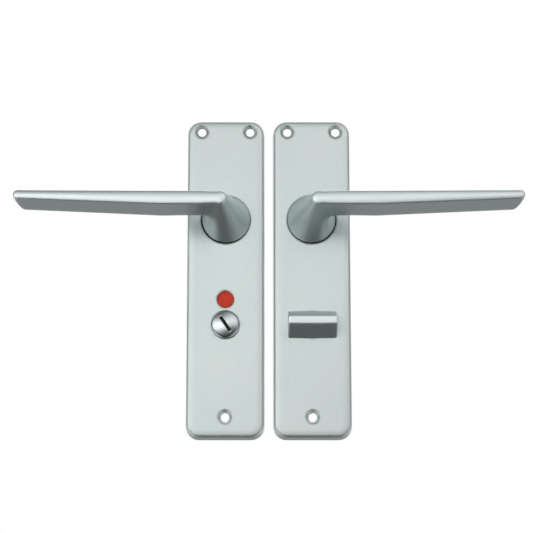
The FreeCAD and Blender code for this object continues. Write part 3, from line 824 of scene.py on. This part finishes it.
@dataclass
class Studio:
    """Pale floor, soft surrounding light and the camera at the photographed angle.

    Each sector of the surroundings gives its light at some degrees above the horizon, and
    each fade the degrees away from straight in front over which one sector gives way to the next.
    """

    floor_level: float = -0.36
    floor_half_width: float = 1.4
    floor_colours: tuple[Triple, Triple] = ((0.89, 0.89, 0.88), (0.92, 0.92, 0.91))
    floor_spread: Pair = (0.3, 0.7)
    floor_scale: float = 60.0
    floor_detail: float = 3.0
    floor_roughness: float = 0.8
    camera_place: Triple = (0.0218675, -0.9134839, -0.239465)
    camera_pitch: float = 10.24
    camera_lens: float = 107.0
    camera_sensor: float = 36.0
    camera_shift: Pair = (0.0068, 0.15)
    camera_near: float = 0.01
    strength: float = 4.0
    middle_fade: Pair = (-14.0, 14.0)
    side_fade: Pair = (16.0, 64.0)
    back_fade: Pair = (96.0, 144.0)
    front_left: Stops = (
        (-90, 0.06), (-50, 0.03), (-25, 0.03), (-8, 0.03), (3, 2.49),
        (12, 2.18), (22, 0.26), (34, 0.03), (50, 0.12), (90, 0.35),
    )
    front_right: Stops = (
        (-90, 0.06), (-50, 0.03), (-25, 0.03), (-8, 0.03), (3, 0.10),
        (12, 1.30), (22, 1.56), (34, 0.44), (50, 0.12), (90, 0.35),
    )
    left: Stops = ((-90, 0.15), (-40, 1.10), (-10, 0.62), (15, 0.14), (40, 0.45), (90, 0.35))
    right: Stops = ((-90, 0.15), (-40, 0.85), (-10, 0.60), (15, 0.16), (40, 0.50), (90, 0.35))
    behind: Stops = ((-90, 0.27), (-20, 0.27), (0, 1.05), (20, 1.15), (45, 1.5), (90, 2.0))

    def build(self) -> None:
        """Makes floor, world and camera."""
        self._floor()
        self._world()
        self._camera()

    def _floor(self) -> None:
        """Lays the floor, well under the set, which hangs on a door."""
        bpy.ops.object.select_all(action="DESELECT")
        bpy.ops.mesh.primitive_plane_add(size=2 * self.floor_half_width, location=(0, 0, self.floor_level))
        floor = bpy.context.object
        floor.name = "floor"
        floor.visible_glossy = False
        material = bpy.data.materials.new("pale_floor")
        material.use_nodes = True
        sheet = NodeSheet(material.node_tree)
        speck = sheet.noise(sheet.object_place(), self.floor_scale, self.floor_detail)
        sheet.surface({
            "Base Color": sheet.ramp(speck, list(zip(self.floor_spread, self.floor_colours))),
            "Roughness": self.floor_roughness,
        })
        floor.data.materials.append(material)

    def _world(self) -> None:
        """Surrounds the set with soft light, strongest in front just above the height of the eye."""
        world = bpy.data.worlds.new("soft_studio")
        bpy.context.scene.world = world
        world.use_nodes = True
        sheet = NodeSheet(world.node_tree)
        direction = sheet.node("ShaderNodeTexCoord", {}, {}).outputs["Generated"]
        x, y, z = sheet.axes(direction)
        elevation = sheet.math("ARCSINE", z) * math.degrees(1)
        turn = sheet.math("ARCTAN2", x, 0.0 - y) * math.degrees(1)
        away = sheet.math("ABSOLUTE", turn)
        front_left, front_right, left, right, behind = (
            self._sector(sheet, elevation, stops)
            for stops in (self.front_left, self.front_right, self.left, self.right, self.behind)
        )
        rightward = turn.smooth_between(*self.middle_fade)
        front = sheet.mix(rightward, front_left, front_right)
        sides = sheet.mix(rightward, left, right)
        lit = sheet.mix(away.smooth_between(*self.side_fade), front, sides)
        lit = sheet.mix(away.smooth_between(*self.back_fade), lit, behind)
        seen = Signal(sheet, sheet.node("ShaderNodeLightPath", {}, {}).outputs["Is Camera Ray"])
        colour = sheet.mix(seen, lit, 1.0 / self.strength)
        background = sheet.node("ShaderNodeBackground", {}, {"Color": colour, "Strength": self.strength})
        sheet.node("ShaderNodeOutputWorld", {}, {"Surface": background.outputs[0]})
        bpy.context.scene.view_settings.view_transform = "Standard"

    def _sector(self, sheet: NodeSheet, elevation: Signal, stops: Stops) -> Output:
        """Returns: one sector's light at an elevation, as a share of the strength."""
        shares = [(degrees / 180.0 + 0.5, light / self.strength) for degrees, light in stops]
        return sheet.ramp(elevation / 180.0 + 0.5, shares)

    def _camera(self) -> None:
        """Sets the camera low in front of the pair, looking a little up."""
        tilt = math.radians(90 + self.camera_pitch)
        bpy.ops.object.camera_add(location=self.camera_place, rotation=(tilt, 0, 0))
        camera = bpy.context.object
        camera.name = "photo_camera"
        camera.data.lens = self.camera_lens
        camera.data.sensor_width = self.camera_sensor
        camera.data.shift_x, camera.data.shift_y = self.camera_shift
        camera.data.clip_start = self.camera_near
        bpy.context.scene.camera = camera


def within(value: float, low: float = 0.0, high: float = 1.0) -> float:
    """Returns: the value, held between two limits."""
    return min(max(value, low), high)


def part_way(start: float, end: float, share: float) -> float:
    """Returns: the number that lies a share of the way from start to end."""
    return start + (end - start) * share


def soft_step(low: float, high: float, value: float) -> float:
    """Returns: a soft step from 0 at low to 1 at high, read at the value."""
    share = within((value - low) / (high - low))
    return share * share * (3 - 2 * share)


def curve_through(values: Sequence[float], share: float) -> float:
    """Value at a share of the way along evenly spaced key values.

    Args:
        values: the key values.
        share: 0 at the first, 1 at the last.

    Returns:
        The value on a smooth curve through them.
    """
    last = len(values) - 1
    place = within(share) * last
    index = min(int(place), last - 1)
    part = place - index
    here, ahead = values[index], values[index + 1]
    before = values[index - 1] if index > 0 else 2 * here - ahead
    beyond = values[index + 2] if index + 2 <= last else 2 * ahead - here
    bend = (2 * before - 5 * here + 4 * ahead - beyond) * part ** 2
    swing = (-before + 3 * here - 3 * ahead + beyond) * part ** 3
    return 0.5 * (2 * here + (ahead - before) * part + bend + swing)


def quarter_round(*angles: float) -> list[Pair]:
    """Returns: how far in, and how far on, a quarter circle of radius 1 is at some degrees."""
    return [(1 - math.cos(math.radians(angle)), math.sin(math.radians(angle))) for angle in angles]


def crowned(rows: int, height: float, reach: float = 0.97) -> list[Pair]:
    """Returns: the share of the way in, and the rise, of steps up a crowned face."""
    shares = [reach * step / rows for step in range(1, rows + 1)]
    return [(share, height * (1 - (1 - share) ** 2)) for share in shares]


def turned_rows(corners: int, middle: Pair, stations: Iterable[Pair]) -> Rows:
    """Rows of points on circles round one axis, as a lathe cuts them.

    Args:
        corners: how many points each row has.
        middle: X and Z of the axis.
        stations: radius and depth of each row.

    Returns:
        The rows.
    """
    turns = [2 * math.pi * step / corners for step in range(corners)]
    spokes = [(math.cos(turn), math.sin(turn)) for turn in turns]
    x, z = middle
    return [
        [Vector((x + radius * across, y, z + radius * up)) for across, up in spokes]
        for radius, y in stations
    ]


@dataclass
class LeverForm:
    """Sizes in millimetres of a lever that points left, and the rows that its skin runs through."""

    corners: int = 96
    corner_digits: int = 12
    # Journal behind the plate
    journal_radius: float = 8.0
    journal_flat: float = 7.0
    journal_back: float = -0.5
    journal_chamfer: float = 0.4
    groove_back: float = -1.1
    groove_front: float = -2.2
    groove_depth: float = 0.5
    sleeve_back: float = -3.4
    # Foot in the plate's hole
    foot_back: float = -6.9
    foot_front: float = -9.0
    foot_radius: float = 14.1
    foot_play: Pair = (0.3, 0.3)
    foot_round: float = 0.25
    foot_angles: Shares = (0, 30, 60, 90)
    # Neck, and its bend into the grip
    neck_radius: float = 13.8
    neck_hollow: float = 1.08
    neck_rows: int = 40
    neck_evened: Pair = (0.55, 0.85)
    neck_eased: Triple = (-9.6, -39.0, -9.0)
    neck_ease_factor: float = 0.5
    neck_ease_rounds: int = 16
    waist: Pair = (-4.5, -26.0)
    bend_start: float = 12.0
    bend_end: float = 36.0
    corner_ease: float = 0.6
    corner_spread: float = 1.6
    corner_power: int = 4
    front_run: float = 2.0
    back_shares: Shares = (0, 0.50, 0.86, 0.97, 1)
    front_shares: Shares = (0, 0.50, 0.97, 1, 1)
    rise_shares: Shares = (0, 0.20, 0.95, 0.98, 1)
    squareness: Shares = (2.0, 2.0, 2.2, 3.2, 4.5)
    front_squareness: Shares = (2.0, 2.5, 3.9, 4.4, 4.5)
    # Nose, where the neck's outer side meets the front
    nose_radius: float = 3.8
    nose_middle: Pair = (-2.9, 2.6)
    nose_hold: Pair = (-1.0, 0.15)
    # Grip, from its root at the bend to its tip
    front: float = -48.0
    back: float = -32.0
    reach: float = 118.9
    overhang: float = 1.0
    excess: float = 2.8
    root_height: float = 7.4
    tip_height: float = 4.8
    top: float = 6.3
    tip_rise: float = 0.45
    root_flare: float = 3.5
    tip_flare: float = 2.9
    end_slant: float = 3.4
    end_round: float = 2.0
    end_fall: float = 2.0
    end_bulge: float = 1.1
    end_angles: Shares = (0, 15, 30, 45, 60, 75, 85)
    blade_shares: Shares = (0.06, 0.2, 0.35, 0.5, 0.65, 0.8, 0.92, 0.98)
    # Front face, its rounded edge and its crown
    outline_step: float = 0.33
    edge_round: float = 0.5
    edge_share: float = 0.16
    edge_angles: Shares = (28, 56, 84)
    face_normal: float = -0.99
    crown: float = 0.27
    crown_rows: int = 7
    # Seats for the spindle and the grub screw, and how far the tools that cut them reach past them
    socket_side: float = 8.1
    socket_front: float = -24.5
    grub_radius: float = 2.54
    grub_depth: float = -15.0
    grub_reach: float = 20.0
    tool_margin: float = 1.0

    def inner_side(self, share: float) -> Vector:
        """Point on the neck's inner side, from the foot to the grip's back.

        Args:
            share: 0 at the foot, 1 at the grip.

        Returns:
            The point.
        """
        foot = Vector((self.foot_play[0] - self.neck_radius, self.foot_front, 0))
        hold = Vector((*self.waist, 0))
        start, end = (Vector((-x, self.back, 0)) for x in (self.bend_start, self.bend_end))
        rest = 1 - share
        before = foot * rest ** 3 + hold * (3 * share * rest ** 2)
        return before + start * (3 * share ** 2 * rest) + end * share ** 3

    def outer_side(self, share: float) -> Vector:
        """Point on the neck's outer side, straight to the blade's end and then along its front.

        Args:
            share: 0 at the foot, 1 at the grip.

        Returns:
            The point.
        """
        corner = Vector((self.overhang, self.front - self.corner_ease, 0))
        foot = Vector((self.foot_play[0] + self.neck_radius, self.foot_front, 0))
        if share <= 0.5:
            return foot * (1 - 2 * share) + corner * (2 * share)
        past = 2 * share - 1
        left = (self.bend_end + self.front_run + self.overhang) * past ** self.corner_spread
        out = (self.excess - self.corner_ease) * (1 - (1 - past) ** self.corner_power)
        return Vector((corner.x - left, corner.y - out, 0))

    def blade_halves(self, height: float, flare: float) -> Pair:
        """Half heights of a blade section at its very back and front.

        Args:
            height: its height in front.
            flare: how much further it reaches at its back, each way.

        Returns:
            The half heights.
        """
        power = self.squareness[-1]
        depth = self.back - self.front
        share = 1 - 2 * self.excess / (depth + self.excess)
        fullness = (1 - share ** power) ** (1 / power)
        at_front, at_back = height / 2 / fullness, (height / 2 + flare) / fullness
        middle, slope = (at_front + at_back) / 2, (at_back - at_front) / 2 / share
        return middle + slope, middle - slope

    def section(
        self, inner: Vector, outer: Vector, halves: Pair, middle: float,
        powers: Pair, bulge: float = 0.0, evenness: float = 0.0,
    ) -> list[Vector]:
        """Row of points round one section.

        Args:
            inner: its point nearest the door.
            outer: its point furthest from the door.
            halves: its half heights at those points.
            middle: height of its middle.
            powers: squareness of its inner and outer half; 2 is an ellipse, more is squarer.
            bulge: how far its middle stands out along the grip.
            evenness: 1 spaces the points evenly at its outer end.

        Returns:
            The row.
        """
        centre, half = (inner + outer) / 2, (outer - inner) / 2
        back_half, front_half = halves
        row = []
        for step in range(self.corners):
            turn = 2 * math.pi * step / self.corners
            # Rounding makes the four quarter points exact
            cosine, sine = (round(value, self.corner_digits) for value in (math.cos(turn), math.sin(turn)))
            power = powers[0] if cosine < 0 else powers[1] + (2 - powers[1]) * evenness * cosine ** 4
            along = math.copysign(abs(cosine) ** (2 / power), cosine)
            up = math.copysign(abs(sine) ** (2 / power), sine)
            place = centre + half * along
            height = (back_half + front_half) / 2 + (front_half - back_half) / 2 * along
            row.append(Vector((place.x - bulge * (1 - along * along), place.y, middle + height * up)))
        return row

    def held_to_nose(self, point: Vector) -> Vector:
        """Draws a point on the neck's outer side to the cone between foot and nose.

        Args:
            point: a point on the neck.

        Returns:
            The point, on the cone where it faces away from the grip.
        """
        share = within((point.y - self.front) / (self.foot_front - self.front))
        middle_x, middle_z = (part_way(*ends, share) for ends in zip(self.nose_middle, self.foot_play))
        radius = part_way(self.nose_radius, self.neck_radius, share ** self.neck_hollow)
        across, up = point.x - middle_x, point.z - middle_z
        reach = math.hypot(across, up)
        hold = soft_step(*self.nose_hold, across / reach)
        if across >= 0:
            held = Vector((middle_x + across * radius / reach, point.y, middle_z + up * radius / reach))
        else:
            held = Vector((point.x, point.y, middle_z + math.copysign(radius, up)))
        return point.lerp(held, hold)

    def shank_rows(self) -> Rows:
        """Rows of the journal and of the foot in the plate's hole.

        Returns:
            The rows, from the back.
        """
        journal, grooved = self.journal_radius, self.journal_radius - self.groove_depth
        chamfer, back = self.journal_chamfer, self.journal_back
        journal_stations = [
            (journal - chamfer, back), (journal, back - chamfer),
            (journal, self.groove_back), (grooved, self.groove_back),
            (grooved, self.groove_front), (journal, self.groove_front), (journal, self.foot_back),
        ]
        foot, rounding = self.foot_radius, self.foot_round
        foot_stations = [(foot - rounding, self.foot_back), (foot, self.foot_back - rounding)]
        foot_stations += [
            (foot - rounding * inwards, self.foot_front + rounding * (1 - onwards))
            for inwards, onwards in quarter_round(*self.foot_angles)
        ]
        rows = turned_rows(self.corners, (0.0, 0.0), journal_stations)
        return rows + turned_rows(self.corners, self.foot_play, foot_stations)

    def neck_rows_to_tip(self) -> Rows:
        """Rows up the neck, round its bend and out to the tip.

        Returns:
            The rows, from the foot.
        """
        root_back, root_front = self.blade_halves(self.root_height, self.root_flare)
        tip_back, tip_front = self.blade_halves(self.tip_height, self.tip_flare)
        root_middle = self.top - self.root_height / 2
        tip_middle = self.top + self.tip_rise - self.tip_height / 2
        backs = [part_way(self.neck_radius, root_back, share) for share in self.back_shares]
        fronts = [part_way(self.neck_radius, root_front, share) for share in self.front_shares]
        middles = [part_way(self.foot_play[1], root_middle, share) for share in self.rise_shares]
        rows = []
        for step in range(self.neck_rows + 1):
            share = step / self.neck_rows
            row = self.section(
                self.inner_side(share), self.outer_side(share),
                (curve_through(backs, share), curve_through(fronts, share)),
                curve_through(middles, share),
                (curve_through(self.squareness, share), curve_through(self.front_squareness, share)),
                evenness=1 - soft_step(*self.neck_evened, share),
            )
            rows.append([self.held_to_nose(point) for point in row])
        root_inner, root_outer = self.inner_side(1), self.outer_side(1)
        slant_past_front = self.end_slant / (self.back - self.front) * self.excess
        tip_inner = Vector((self.end_slant - self.reach, self.back, 0))
        tip_outer = Vector((-self.reach - slant_past_front, self.front - self.excess, 0))
        end_share = 1 - self.end_round / (self.reach - self.bend_end)
        stations = [(share * end_share, 0.0, 0.0) for share in self.blade_shares]
        stations += [(end_share, *place) for place in quarter_round(*self.end_angles)]
        powers = (self.squareness[-1], self.front_squareness[-1])
        for share, inwards, onwards in stations:
            inset, advance = self.end_round * inwards, self.end_round * onwards
            half_back = part_way(root_back, tip_back, share) - inset
            half_front = part_way(root_front, tip_front, share) - inset
            rows.append(self.section(
                root_inner.lerp(tip_inner, share) + Vector((-advance, -inset * self.end_fall, 0)),
                root_outer.lerp(tip_outer, share) + Vector((-advance, inset, 0)),
                (half_back, half_front), part_way(root_middle, tip_middle, share),
                powers, onwards * self.end_bulge,
            ))
        return rows

    def model(self, name: str) -> Workpiece:
        """Models the lever.

        Args:
            name: its name.

        Returns:
            The lever.
        """
        lever = Workpiece.lofted(name, self.shank_rows() + self.neck_rows_to_tip())
        self._shape_front(lever)
        self._ease_neck(lever)
        self._cut_seats(lever)
        return lever

    def spine(self, point: Vector) -> Vector:
        """Point on the middle line of the front that lies nearest.

        Args:
            point: a point of the front's outline.

        Returns:
            The nearest point, at the same depth.
        """
        tip = (self.tip_height / 2 - self.reach, self.top + self.tip_rise - self.tip_height / 2)
        root = (-self.bend_end, self.top - self.root_height / 2)
        x = within(point.x, tip[0], self.nose_middle[0])
        share = within((x - root[0]) / (tip[0] - root[0]))
        return Vector((x, point.y, part_way(root[1], tip[1], share)))

    def _shape_front(self, lever: Workpiece) -> None:
        """Cuts the front flat, rounds its edge and crowns it.

        Args:
            lever: the lever's skin.
        """
        cut = (self.front + self.edge_round + self.crown) * MM

        def on_cut(corner: bmesh.types.BMVert) -> bool:
            """Returns: whether a corner lies in the plane of the cut."""
            return abs(corner.co.y - cut) < NEAR

        lever.slice_off((0, cut, 0), (0, -1, 0))
        lever.pick(Kind.CORNERS, on_cut)
        lever.work(bpy.ops.mesh.remove_doubles, threshold=self.outline_step * MM)
        lever.pick(Kind.FACES, lambda face: (
            face.normal.y < self.face_normal and all(on_cut(corner) for corner in face.verts)
        ))
        stations = [
            (self.edge_share * inwards, self.edge_round * onwards)
            for inwards, onwards in quarter_round(*self.edge_angles)
        ]
        start = stations[-1][0]
        stations += [
            (part_way(start, 1.0, part), self.edge_round + rise)
            for part, rise in crowned(self.crown_rows, self.crown)
        ]
        drawn = 0.0
        for share, rise in stations:
            left = (1 - share) / (1 - drawn)
            level = cut - rise * MM

            def drawn_in(corner: Vector) -> Vector:
                """Draws a corner in to the middle line, and raises it.

                Args:
                    corner: its place.

                Returns:
                    Its new place.
                """
                middle = self.spine(corner / MM) * MM
                place = middle + (corner - middle) * left
                return Vector((place.x, level, place.z))

            lever.extrude()
            lever.move(drawn_in)
            drawn = share

    def _ease_neck(self, lever: Workpiece) -> None:
        """Evens out the skin of the neck between its foot and its nose.

        Args:
            lever: the lever's skin.
        """
        back, front, side = (value * MM for value in self.neck_eased)
        lever.pick(Kind.CORNERS, lambda corner: front < corner.co.y < back and corner.co.x > side)
        lever.work(bpy.ops.mesh.vertices_smooth, factor=self.neck_ease_factor, repeat=self.neck_ease_rounds)

    def _cut_seats(self, lever: Workpiece) -> None:
        """Cuts the spindle's socket, the journal's flats and the grub screw's hole.

        Args:
            lever: the lever's solid.
        """
        half, far = self.socket_side / 2 * MM, 2 * self.journal_radius * MM
        flat, flat_front = self.journal_flat * MM, self.sleeve_back * MM
        back = self.tool_margin * MM
        socket = Workpiece.block("socket_tool", (-half, self.socket_front * MM, -half), (half, back, half))
        flats = [
            Workpiece.block("flat_tool", (-far, flat_front, low), (far, back, high))
            for low, high in ((-far, -flat), (flat, far))
        ]
        start, end = ((0, self.grub_depth * MM, height * MM) for height in (0, self.grub_reach))
        grub = Workpiece.rod("grub_tool", self.grub_radius * MM, start, end)
        lever.cut(socket, *flats, grub)


@dataclass
class BoltShank:
    """Sizes in millimetres of the round shank behind a knob, and where its axis is."""

    middle: Pair
    groove_front: float
    corners: int = 96
    radius: float = 6.7
    back: float = -0.5
    chamfer: float = 0.4
    groove_depth: float = 0.5
    groove_width: float = 1.1
    knob_back: float = -8.1
    socket_side: float = 8.1
    tool_margin: float = 1.0

    def turned(self, stations: Iterable[Pair]) -> Rows:
        """Returns: rows on circles round the shank's axis, from their radius and depth."""
        return turned_rows(self.corners, self.middle, stations)

    def rows(self) -> Rows:
        """Rows of the chamfered shank with its groove.

        Returns:
            The rows, from the shank's end to the knob's back.
        """
        groove_back = self.groove_front + self.groove_width
        floor = self.radius - self.groove_depth
        return self.turned([
            (self.radius - self.chamfer, self.back), (self.radius, self.back - self.chamfer),
            (self.radius, groove_back), (floor, groove_back), (floor, self.groove_front),
            (self.radius, self.groove_front), (self.radius, self.knob_back),
        ])

    def socket(self, front: float) -> Workpiece:
        """Tool for the square hole of the spindle.

        Args:
            front: the hole's bottom.

        Returns:
            The tool.
        """
        half = self.socket_side / 2
        x, z = self.middle
        low = Vector((x - half, front, z - half)) * MM
        return Workpiece.block("socket_tool", low, Vector((x + half, self.tool_margin, z + half)) * MM)


@dataclass
class ReleaseForm:
    """Sizes in millimetres of the domed release with its coin slot."""

    shank: BoltShank
    radius: float = 8.45
    foot: float = -9.4
    face_radius: float = 7.0
    face_edge: float = -10.8
    crown: float = -11.6
    edge_bulge: float = 0.32
    edge_steps: int = 8
    face_steps: int = 10
    back_chamfer: float = 0.15
    flat: float = 5.85
    flat_front: float = -5.0
    socket_front: float = -8.9
    slot_length: float = 10.2
    slot_width: float = 1.85
    slot_floor: float = -9.35
    slot_turn: float = 56.0
    slot_edge: float = 0.10
    slot_edge_segments: int = 2
    slot_edge_bend: float = 0.8
    slot_edge_depth: float = 0.05

    def model(self, name: str) -> Workpiece:
        """Models the release.

        Args:
            name: its name.

        Returns:
            The release.
        """
        back = self.shank.knob_back
        stations = [(self.radius - self.back_chamfer, back), (self.radius, back - self.back_chamfer)]
        chord = Vector((self.face_radius - self.radius, self.face_edge - self.foot))
        outward = Vector((-chord.y, chord.x)).normalized()
        for step in range(self.edge_steps + 1):
            share = step / self.edge_steps
            bulge = outward * (4 * share * (1 - share) * self.edge_bulge)
            stations.append((Vector((self.radius, self.foot)) + chord * share + bulge)[:])
        for step in range(1, self.face_steps):
            share = 1 - step / self.face_steps
            stations.append((self.face_radius * share, part_way(self.crown, self.face_edge, share ** 2)))
        knob = Workpiece.lofted(name, self.shank.rows() + self.shank.turned(stations))
        knob.cut(self.shank.socket(self.socket_front), *self._flats(), self._slot())
        deep = (self.foot + self.slot_edge_depth) * MM
        knob.pick(Kind.EDGES, lambda edge: (
            edge.is_manifold and edge.is_convex and edge.calc_face_angle() > self.slot_edge_bend
            and all(corner.co.y < deep for corner in edge.verts)
        ))
        knob.work(
            bpy.ops.mesh.bevel, offset=self.slot_edge * MM,
            segments=self.slot_edge_segments, affect="EDGES",
        )
        return knob

    def _flats(self) -> list[Workpiece]:
        """Tools for the two flats of the shank.

        Returns:
            One block beyond each flat.
        """
        x, z = self.shank.middle
        far = 2 * self.radius
        back = self.shank.tool_margin
        tools = []
        for low, high in ((-far, -self.flat), (self.flat, far)):
            corner = Vector((x - far, self.flat_front, z + low)) * MM
            tools.append(Workpiece.block("flat_tool", corner, Vector((x + far, back, z + high)) * MM))
        return tools

    def _slot(self) -> Workpiece:
        """Tool for the coin slot.

        Returns:
            A block turned to the slot's angle.
        """
        x, z = self.shank.middle
        long, wide = self.slot_length / 2, self.slot_width / 2
        low = Vector((x - long, self.crown - self.shank.tool_margin, z - wide)) * MM
        high = Vector((x + long, self.slot_floor, z + wide)) * MM
        return Workpiece.block("slot_tool", low, high, self.slot_turn)


@dataclass
class TurnForm:
    """Sizes in millimetres of the wedge-shaped thumb turn."""

    shank: BoltShank
    length: float = 28.5
    back_half: float = 7.9
    front_half: float = 2.35
    bow: float = 0.2
    corner_radius: float = 0.9
    least_radius: float = 0.2
    side_steps: int = 6
    corner_steps: int = 8
    top_steps: int = 10
    front: float = -24.0
    side_shares: Shares = (0.35, 0.7, 1.0)
    edge_round: float = 0.35
    edge_angles: Shares = (25, 50, 75, 90)
    back_chamfer: float = 0.2
    socket_front: float = -14.0
    pin_radius: float = 1.02
    pin_depth: float = -2.0
    crown: float = 0.08
    crown_rows: int = 4

    def outline(self, half: float, inset: float, y: float) -> list[Vector]:
        """Row of points on the rounded, bowed rectangle of one section.

        Args:
            half: half its height at its ends.
            inset: how far in it is drawn.
            y: its depth.

        Returns:
            The row, from the middle of its right side.
        """
        wide, high = self.length / 2 - inset, half - inset
        radius = max(min(self.corner_radius, high) - inset, self.least_radius)
        right = [(wide, (high - radius) * step / self.side_steps) for step in range(self.side_steps)]
        turns = [math.pi / 2 * step / self.corner_steps for step in range(self.corner_steps)]
        corner = [
            (wide - radius + radius * math.cos(turn), high - radius + radius * math.sin(turn))
            for turn in turns
        ]
        top = [((wide - radius) * (1 - step / self.top_steps), high) for step in range(self.top_steps)]
        quarter = right + corner + top
        left = [(-x, z) for x, z in reversed(quarter[1:])]
        upper = quarter + [(0.0, high)] + left
        lower = [(x, -z) for x, z in reversed(upper[1:])]
        x, z = self.shank.middle
        bow = self.bow / half
        return [
            Vector((x + across, y, z + up * (1 + bow * (1 - (across / wide) ** 2))))
            for across, up in upper + [(-wide, 0.0)] + lower
        ]

    def model(self, name: str) -> Workpiece:
        """Models the turn.

        Args:
            name: its name.

        Returns:
            The turn.
        """
        back = self.shank.knob_back
        front = self.front + self.crown
        stations = [(back, self.back_chamfer), (back - self.back_chamfer, 0.0)]
        stations += [(part_way(back, front + self.edge_round, share), 0.0) for share in self.side_shares]
        stations += [
            (front + self.edge_round * (1 - onwards), self.edge_round * inwards)
            for inwards, onwards in quarter_round(*self.edge_angles)
        ]
        rows = []
        for y, inset in stations:
            share = (y - back) / (self.front - back)
            rows.append(self.outline(part_way(self.back_half, self.front_half, share), inset, y))
        edge, middle = rows[-1], self.shank.middle
        ridge = self.length / 2 - self.front_half
        for part, rise in crowned(self.crown_rows, self.crown):
            level = front - rise
            row = []
            for corner in edge:
                x = middle[0] + within(corner.x - middle[0], -ridge, ridge)
                row.append(corner.lerp(Vector((x, level, middle[1])), part))
                row[-1].y = level
            rows.append(row)
        self.shank.corners = len(edge)
        turn = Workpiece.lofted(name, self.shank.rows() + rows)
        x, z = self.shank.middle
        reach = self.shank.radius + self.shank.tool_margin
        start = Vector((x - reach, self.pin_depth, z)) * MM
        end = start + Vector((2 * reach * MM, 0, 0))
        hole = Workpiece.rod("pin_tool", self.pin_radius * MM, start, end)
        turn.cut(self.shank.socket(self.socket_front), hole)
        return turn


@dataclass
class PlateUnit:
    """One backplate with what stays still behind it."""

    side: Side

    def build(self, finishes: Finishes) -> None:
        """Dresses the plate, its lever bush, spring carrier and spring.

        Args:
            finishes: the set's materials.
        """
        name = self.side.value
        dress(finishes.plate, f"{name}_plate")
        dress(finishes.nylon, f"{name}_lever_bush", f"{name}_spring_carrier")
        dress(finishes.wire, f"{name}_return_spring")


@dataclass
class LeverUnit:
    """One lever with what turns with it."""

    side: Side

    @staticmethod
    def model_pair(finishes: Finishes) -> None:
        """Models the outside lever, and the inside one as its mirror image.

        Args:
            finishes: the set's materials.
        """
        outside = LeverForm().model("outside_lever_cast")
        inside = outside.mirrored("inside_lever_cast", PLATE_PITCH / 2)
        outside.finish(finishes.lever, "outside_lever_set", "satin_aluminium", "outside_lever")
        inside.finish(finishes.lever, "inside_lever_set", "satin_aluminium", "inside_lever")

    def build(self, finishes: Finishes) -> None:
        """Dresses the lever's cam, circlip and grub screw.

        Args:
            finishes: the set's materials.
        """
        name = self.side.value
        dress(finishes.zinc, f"{name}_drive_cam")
        dress(finishes.oxide, f"{name}_lever_circlip", f"{name}_grub_screw")
        if self.side is Side.INSIDE:
            dress(finishes.zinc, "lever_spindle")


@dataclass
class ReleaseUnit:
    """Coin release and indicator of the outside plate."""

    def build(self, finishes: Finishes) -> None:
        """Models the release, and dresses its bush, washer and circlip, and the indicator.

        Args:
            finishes: the set's materials.
        """
        shank = BoltShank(middle=(0.0, -BOLT_DROP / MM), groove_front=-3.4)
        release = ReleaseForm(shank).model("coin_release_turned")
        release.finish(finishes.turned, "release_set", "turned_aluminium", "coin_release")
        dress(finishes.nylon, "release_bush")
        dress(finishes.white, "indicator_disc")
        dress(finishes.red, "indicator_red_field")
        dress(finishes.green, "indicator_green_field")
        dress(finishes.zinc, "release_washer")
        dress(finishes.oxide, "release_circlip")


@dataclass
class TurnUnit:
    """Thumb turn of the inside plate."""

    def build(self, finishes: Finishes) -> None:
        """Models the turn, and dresses its bush, washer, circlip, spindle and roll pin.

        Args:
            finishes: the set's materials.
        """
        shank = BoltShank(middle=(PLATE_PITCH / MM, -BOLT_DROP / MM), groove_front=-4.3)
        turn = TurnForm(shank).model("thumb_turn_cast")
        turn.finish(finishes.turn, "turn_set", "satin_aluminium", "thumb_turn")
        dress(finishes.nylon, "turn_bush")
        dress(finishes.zinc, "turn_washer", "turn_spindle")
        dress(finishes.oxide, "turn_circlip")
        dress(finishes.wire, "turn_roll_pin")


def main() -> None:
    """Builds the set and its studio."""
    logging.basicConfig(level=logging.INFO, format="%(name)s: %(message)s")
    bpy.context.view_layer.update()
    Studio().build()
    finishes = Finishes()
    LeverUnit.model_pair(finishes)
    for side in Side:
        PlateUnit(side).build(finishes)
        LeverUnit(side).build(finishes)
    ReleaseUnit().build(finishes)
    TurnUnit().build(finishes)


if __name__ == "__main__":
    main()
